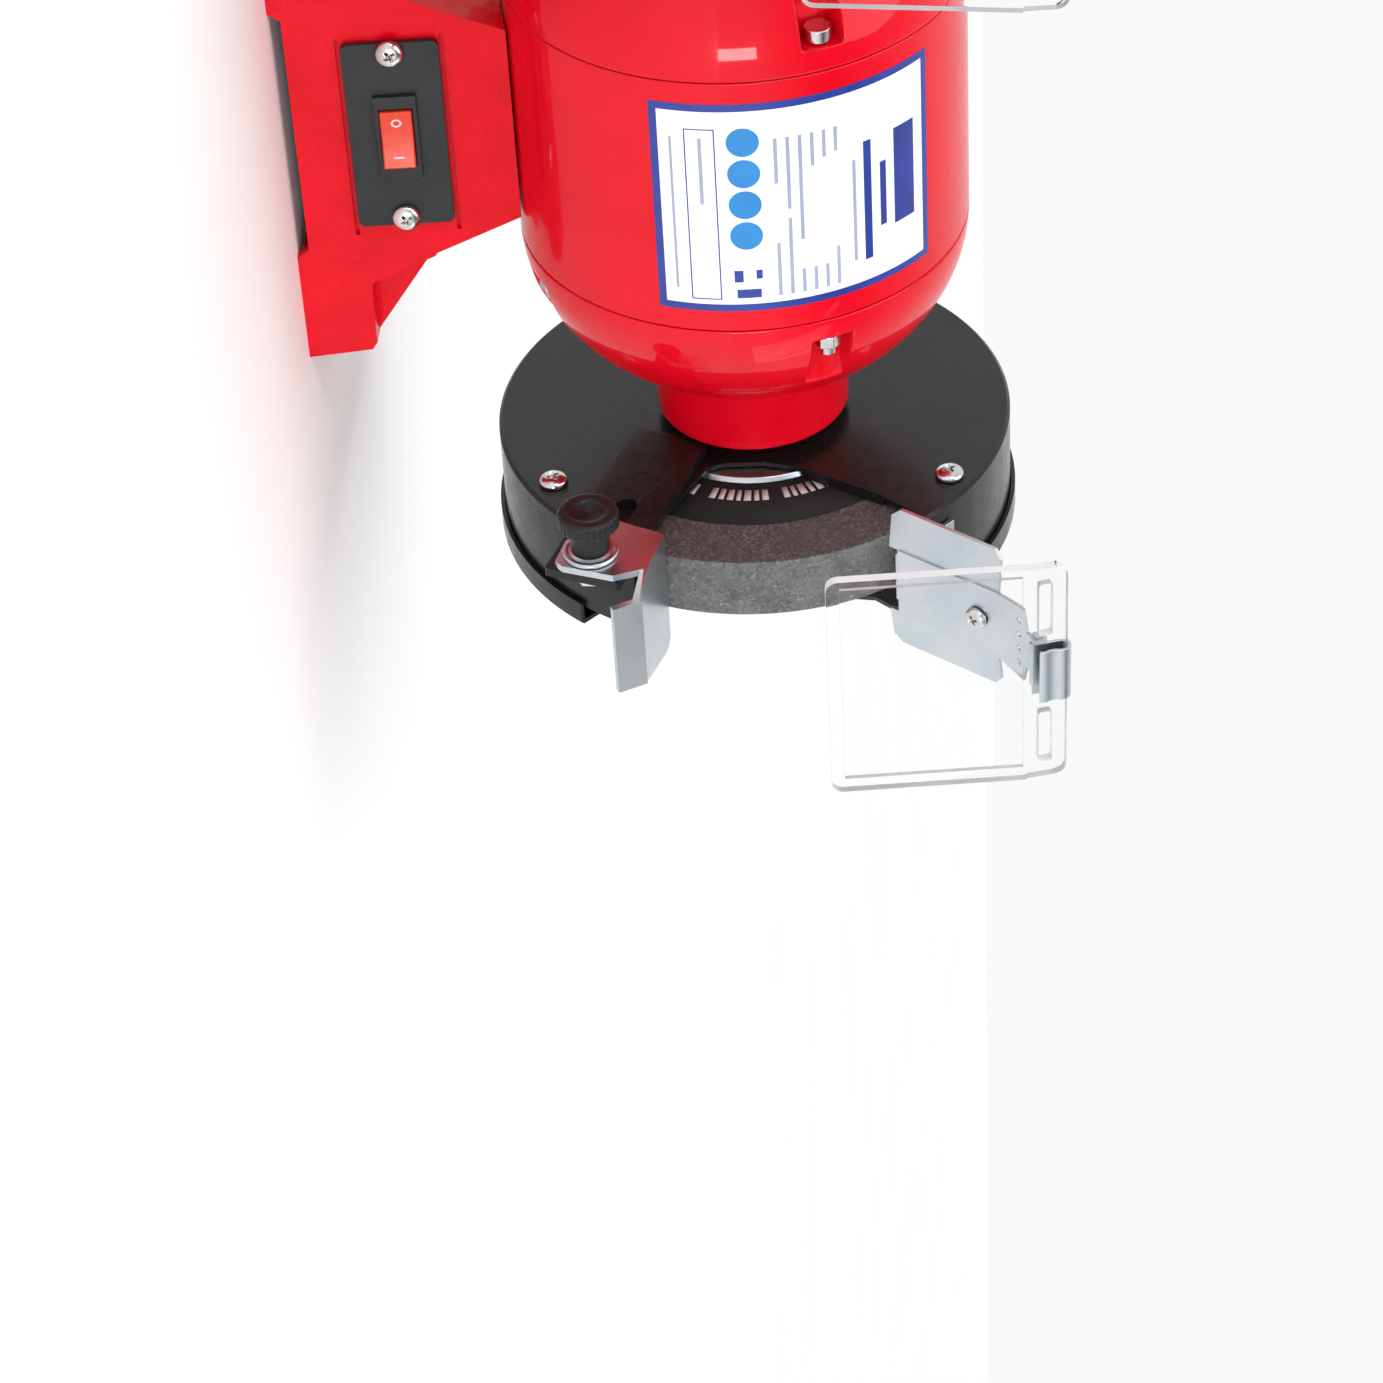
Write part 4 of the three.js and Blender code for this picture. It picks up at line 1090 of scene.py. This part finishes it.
DEFLECTOR_HEAD_R, DEFLECTOR_HEAD_SINK = 3.6, 0.95
SUPPORT_HEAD_R, SUPPORT_SEAT = 3.4, 2.1  # the seat is above the guard's rim


def swung(bm, side):
    """Turns points about the shield's hinge to the tilt that this side's shield rests at."""
    turn = Matrix.Translation(HINGE) @ Matrix.Rotation(SWING[side], 4, "X") @ Matrix.Translation(-HINGE)
    bmesh.ops.transform(bm, matrix=turn, verts=bm.verts)


def hole_cutter(place, direction, radius):
    bm = bmesh.new()
    bmesh.ops.create_cone(bm, cap_ends=True, segments=32, radius1=radius, radius2=radius, depth=8.0)
    turn = direction.to_track_quat("Z", "Y").to_matrix().to_4x4()
    bmesh.ops.transform(bm, matrix=Matrix.Translation(place) @ turn, verts=bm.verts)
    return new_object("hole", bm, "zinc")


def make_deflector(side):
    """A bent plate: its two wings lean back a little from its middle, and four small holes cross its flap."""
    sign = SIDES[side]
    node = f"{side}_spark_deflector"
    bm = copied(node)
    for vert in bm.verts:
        past = abs(vert.co.x - sign * SHIELD_X) - WING_START
        if past > 0.01:
            vert.co += BEHIND * past * WING_LEAN
        if FLAP_CORNER[0] < sign * vert.co.x - SHIELD_X < FLAP_CORNER[1]:
            vert.co.x -= sign * FLAP_GROWTH
    pair_triangles(bm)
    round_corners(bm, BEHIND, PLATE_THICK, PLATE_CORNER_R)
    plate = new_object(node + "_fine", bm, "zinc")
    cutters = []
    for i in range(4):
        place = FLAP_FOOT + FLAP_UP * FLAP_HOLE_UP
        place.x = sign * (SHIELD_X + FLAP_HOLE_START + FLAP_HOLE_STEP * i)
        cutters.append(hole_cutter(place, FLAP_NORMAL, FLAP_HOLE_R))
    carve(plate, *cutters)
    soften(plate, 0.3, 3)
    return stand_for(plate, node)


def make_pane(side):
    """The clear shield: its faces see-through and its moulded edges pale."""
    node = f"{side}_eye_shield"
    bm = copied(node)
    pair_triangles(bm)
    low, high = box_mm(node)
    turn = Matrix.Rotation(SWING[side], 3, "X")
    lower, upper = turn @ Vector((0, 1, -0.1)), turn @ Vector((0, 1, -0.254))
    round_corners(bm, lower, PANE_THICK, PANE_CORNER_R, (low.z - 1, low.z + 2))
    round_corners(bm, upper, PANE_THICK, PANE_CORNER_R, (high.z - 2, high.z + 1))
    round_corners(bm, upper, PANE_THICK, RECESS_CORNER_R, (low.z + 2, high.z - 2))
    pane = new_object(node + "_fine", bm, "clear_plastic")
    soften(pane, 0.35, 2)
    apply_modifiers(pane)
    pane.data.materials.append(LOOKS["clear_edge"])
    for polygon in pane.data.polygons:
        if abs(polygon.normal.y) < 0.9:
            polygon.material_index = 1
    return stand_for(pane, node)


def add_prism(bm, outline, low, high):
    """A closed prism along X from a (y, z) outline."""
    ends = [[bm.verts.new((x, y, z)) for y, z in outline] for x in (low, high)]
    skin(bm, ends, closed=False)


def bent_sheet(line, thickness):
    """The outline of a bent sheet from the line along its middle."""
    outside, inside = [], []
    for i, point in enumerate(line):
        run = (Vector(line[min(i + 1, len(line) - 1)]) - Vector(line[max(i - 1, 0)])).normalized()
        across = Vector((-run.y, run.x)) * thickness / 2
        outside.append(Vector(point) + across)
        inside.append(Vector(point) - across)
    return outside + inside[::-1]


def clamp_outline():
    """(y, z) round the section of the clamp's strip, up its front, over its roll and down its back."""
    line = [(-0.9, 3.6), (-1.25, 4.4), (-1.3, 5.6), (-0.85, 6.6), (-0.8, 8.6), (-1.25, 9.6), (-1.3, 10.6)]
    for i in range(1, 10):
        angle = math.pi * i / 10
        line.append((1.35 - 2.65 * math.cos(angle), 10.6 + 2.5 * math.sin(angle)))
    line += [(4.0, 10.4), (3.95, 6.0), (3.95, 2.4)]
    lean = Matrix.Rotation(-FLANGE_LEAN, 3, "X")
    points = [PANE_BEND + lean @ Vector((0, back, up)) for back, up in bent_sheet(line, CLAMP_SHEET)]
    return [(point.y, point.z) for point in points]


def round_hinge(radius, degrees):
    """(y, z) points round the shield's hinge."""
    return [
        (HINGE.y + radius * math.cos(math.radians(angle)), HINGE.z + radius * math.sin(math.radians(angle)))
        for angle in degrees
    ]


def make_clamp(side):
    """A strip rolled over the shield's top edge, with a shallow fold across its front, on two hinge ears."""
    bm = bmesh.new()
    centre = SIDES[side] * SHIELD_X
    add_prism(bm, clamp_outline(), centre - CLAMP_HALF, centre + CLAMP_HALF)
    ear = round_hinge(EAR_R, range(-90, 91, 15))
    ear += [(HINGE.y - 3.6, HINGE.z + 2.8), (HINGE.y - 4, HINGE.z - 0.6)]
    pin = round_hinge(HINGE_PIN_R, range(0, 360, 15))
    for out in (-1, 1):
        add_prism(bm, ear, *sorted((centre + out * 7.3, centre + out * 9.0)))
        add_prism(bm, pin, *sorted((centre + out * 5.0, centre + out * 9.6)))
    swung(bm, side)
    clamp = new_object(f"{side}_shield_clamp_strip", bm, "zinc")
    soften(clamp, 0.2, 2, 40)
    return stand_for(clamp, f"{side}_shield_clamp")


def make_shield(side):
    sign = SIDES[side]
    refined(f"{side}_shield_support", "zinc", pierced=True)
    make_deflector(side)
    make_pane(side)
    make_clamp(side)
    node = f"{side}_deflector_screw"
    seat = middle(node) - BEHIND * DEFLECTOR_HEAD_SINK
    seat.x = sign * SHIELD_X
    head = pan_head(f"{side}_deflector_screw_head", seat, -BEHIND, DEFLECTOR_HEAD_R, turn=0.5, shank=4.2)
    stand_for(head, node)
    node = f"{side}_support_screw"
    centre = middle(node)
    outward = Vector((0, centre.y - AXIS.y, centre.z - AXIS.z)).normalized()
    seat = AXIS + outward * (DRUM_R + SUPPORT_SEAT)
    seat.x = centre.x
    head = pan_head(f"{side}_support_screw_head", seat, outward, SUPPORT_HEAD_R, turn=0.3, shank=4.0)
    stand_for(head, node)


# ---------------------------------------------------------------- base and switch

PLATE_SCREW_X, PLATE_HEAD_R = 28, 4.2
PLATE_FACE = -1.3
ROCKER_REST = math.radians(-8)
ROCKER_SLOPE = math.atan2(1.0, 9.0)
MARK_FOOT, MARK_TOP = 0.05, -0.06
RING_INNER, RING_OUTER, RING_SQUASH = 1.0, 1.55, 0.85
BAR_HALF, BAR_TALL = 0.3, 1.5


def on_plate(x, y, z):
    """Plate coordinates (across, out of its middle towards the back, up) to a point."""
    return PLATE + Matrix.Rotation(-BASE_SLOPE, 3, "X") @ Vector((x, y, z))


def plate_matrix():
    return Matrix.Translation(PLATE) @ Matrix.Rotation(-BASE_SLOPE, 4, "X")


def make_base():
    refined("base_casting", "cast_red", 1.1, segments=4)
    refined("base_cover", "zinc", 0.4)
    refined("cable_gland", "rubber", 0.4, segments=3)
    refined("capacitor", "capacitor_can", 0.8, segments=3)


def rocker_matrix():
    """From the rocker's own frame, unpressed and facing -Y, to its place."""
    return plate_matrix() @ Matrix.Translation((0, PLATE_FACE, 0)) @ Matrix.Rotation(ROCKER_REST, 4, "Z")


def make_rocker_marks():
    """The plain off and on marks, a ring and a bar, moulded on the rocker's two faces."""
    bm = bmesh.new()
    off = rocker_matrix() @ Matrix.Translation((-5.3, -2.99, 0)) @ Matrix.Rotation(ROCKER_SLOPE, 4, "Z")
    angles = [2 * math.pi * i / 32 for i in range(32)]
    loops = []
    inner, outer = RING_INNER, RING_OUTER
    for radius, y in ((inner, MARK_FOOT), (outer, MARK_FOOT), (outer, MARK_TOP), (inner, MARK_TOP)):
        loops.append([
            bm.verts.new(off @ Vector((radius * RING_SQUASH * math.cos(a), y, radius * math.sin(a))))
            for a in angles
        ])
    skin(bm, loops)
    on = rocker_matrix() @ Matrix.Translation((5.6, -3.02, 0)) @ Matrix.Rotation(-ROCKER_SLOPE, 4, "Z")
    ends = [
        [
            bm.verts.new(on @ Vector((x * BAR_HALF, y, z * BAR_TALL)))
            for x, z in ((-1, -1), (1, -1), (1, 1), (-1, 1))
        ]
        for y in (MARK_TOP, MARK_FOOT)
    ]
    skin(bm, ends, closed=False)
    marks = new_object("rocker_marks", bm, "ink_white")
    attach(marks, "rocker")


def make_switch():
    refined("switch_plate", "switch_black", 0.35, segments=3)
    refined("switch_housing", "switch_black", 0.35, segments=3)
    refined("switch_rocker", "rocker_red", 0.5, segments=4)
    make_rocker_marks()
    outward = Matrix.Rotation(-BASE_SLOPE, 3, "X") @ Vector((0, -1, 0))
    for name, x in (("left_plate_screw", -PLATE_SCREW_X), ("right_plate_screw", PLATE_SCREW_X)):
        seat = on_plate(x, PLATE_FACE, 0)
        head = pan_head(name + "_head", seat, outward, PLATE_HEAD_R, turn=0.6, shank=6.0)
        stand_for(head, name)


# ---------------------------------------------------------------- stage

FLOOR_HALF = 60000
AIM = (0, 0, 0.12)
VIEW_FROM = Vector((-675.1, -1068.6, 207.9))
VIEW_RIGHT = Vector((0.76764, -0.64088, -0.00313))
VIEW_UP = Vector((0.04771, 0.05227, 0.99749))
VIEW_BACK = Vector((-0.63911, -0.76586, 0.07070))


def area_light(name, place, target, size, power):
    light = bpy.data.lights.new(name, "AREA")
    light.shape = "RECTANGLE"
    light.size, light.size_y = size
    light.energy = power
    lamp = bpy.data.objects.new(name, light)
    bpy.context.scene.collection.objects.link(lamp)
    lamp.location = place
    lamp.rotation_mode = "QUATERNION"
    lamp.rotation_quaternion = (Vector(target) - Vector(place)).to_track_quat("-Z", "Y")


def glow_range(tree, source, reach, strengths):
    """Maps a direction's part to a sky brightness."""
    node = tree.nodes.new("ShaderNodeMapRange")
    sockets = ("From Min", "From Max", "To Min", "To Max")
    for name, value in zip(sockets, (*reach, *strengths)):
        node.inputs[name].default_value = value
    tree.links.new(source, node.inputs["Value"])
    return node


def make_floor():
    bm = bmesh.new()
    bmesh.ops.create_grid(bm, x_segments=2, y_segments=2, size=FLOOR_HALF)
    floor = new_object("floor", bm, "pale_floor")


def make_sky():
    """A white studio sky, dimmer overhead than low down, and dimmest behind the viewer."""
    world = bpy.data.worlds.new("studio")
    world.use_nodes = True
    tree = world.node_tree
    place = tree.nodes.new("ShaderNodeTexCoord")
    height = tree.nodes.new("ShaderNodeSeparateXYZ")
    tree.links.new(place.outputs["Generated"], height.inputs["Vector"])
    behind = glow_range(tree, height.outputs["Y"], (-0.5, 0.4), (0.10, 0.95))
    glow = glow_range(tree, height.outputs["Z"], (0.2, 0.6), (0.95, 0.5))
    tree.links.new(behind.outputs["Result"], glow.inputs["To Max"])
    tree.links.new(glow.outputs["Result"], tree.nodes["Background"].inputs["Strength"])
    tree.nodes["Background"].inputs["Color"].default_value = (1, 1, 1, 1)
    bpy.context.scene.world = world


def make_stage():
    """The floor, the sky, three lamps and a soft light from overhead; lamps are placed in metres."""
    make_floor()
    make_sky()
    area_light("key", (-1.5, -0.9, 0.75), AIM, (0.3, 0.75), 7)
    area_light("front", (0.19, -1.64, 0.2), (-0.05, -0.05, 0.14), (0.26, 0.6), 8)
    area_light("side", (1.5, -0.9, 0.7), AIM, (0.6, 1.0), 2)
    sun = bpy.data.lights.new("overhead", "SUN")
    sun.energy = 1.7
    sun.angle = math.radians(60)
    lamp = bpy.data.objects.new("overhead", sun)
    bpy.context.scene.collection.objects.link(lamp)
    lamp.rotation_mode = "QUATERNION"
    lamp.rotation_quaternion = Vector((0.25, 0.45, -1)).to_track_quat("-Z", "Y")


def make_camera():
    """The view from the left front, a little above, with the object's up to the picture's right."""
    data = bpy.data.cameras.new("camera")
    data.lens = 112.13
    data.sensor_width = 36
    data.clip_end = 100
    camera = bpy.data.objects.new("camera", data)
    bpy.context.scene.collection.objects.link(camera)
    turn = Matrix((VIEW_UP, -VIEW_RIGHT, VIEW_BACK)).transposed().to_4x4()
    camera.matrix_world = Matrix.Translation(VIEW_FROM * MM) @ turn
    bpy.context.scene.camera = camera


make_motor()
make_label()
make_base()
make_switch()
for name in SIDES:
    make_wheel(name)
    make_guard(name)
    make_tool_rest(name)
    make_shield(name)
make_stage()
make_camera()
bpy.context.scene.view_settings.view_transform = "Standard"
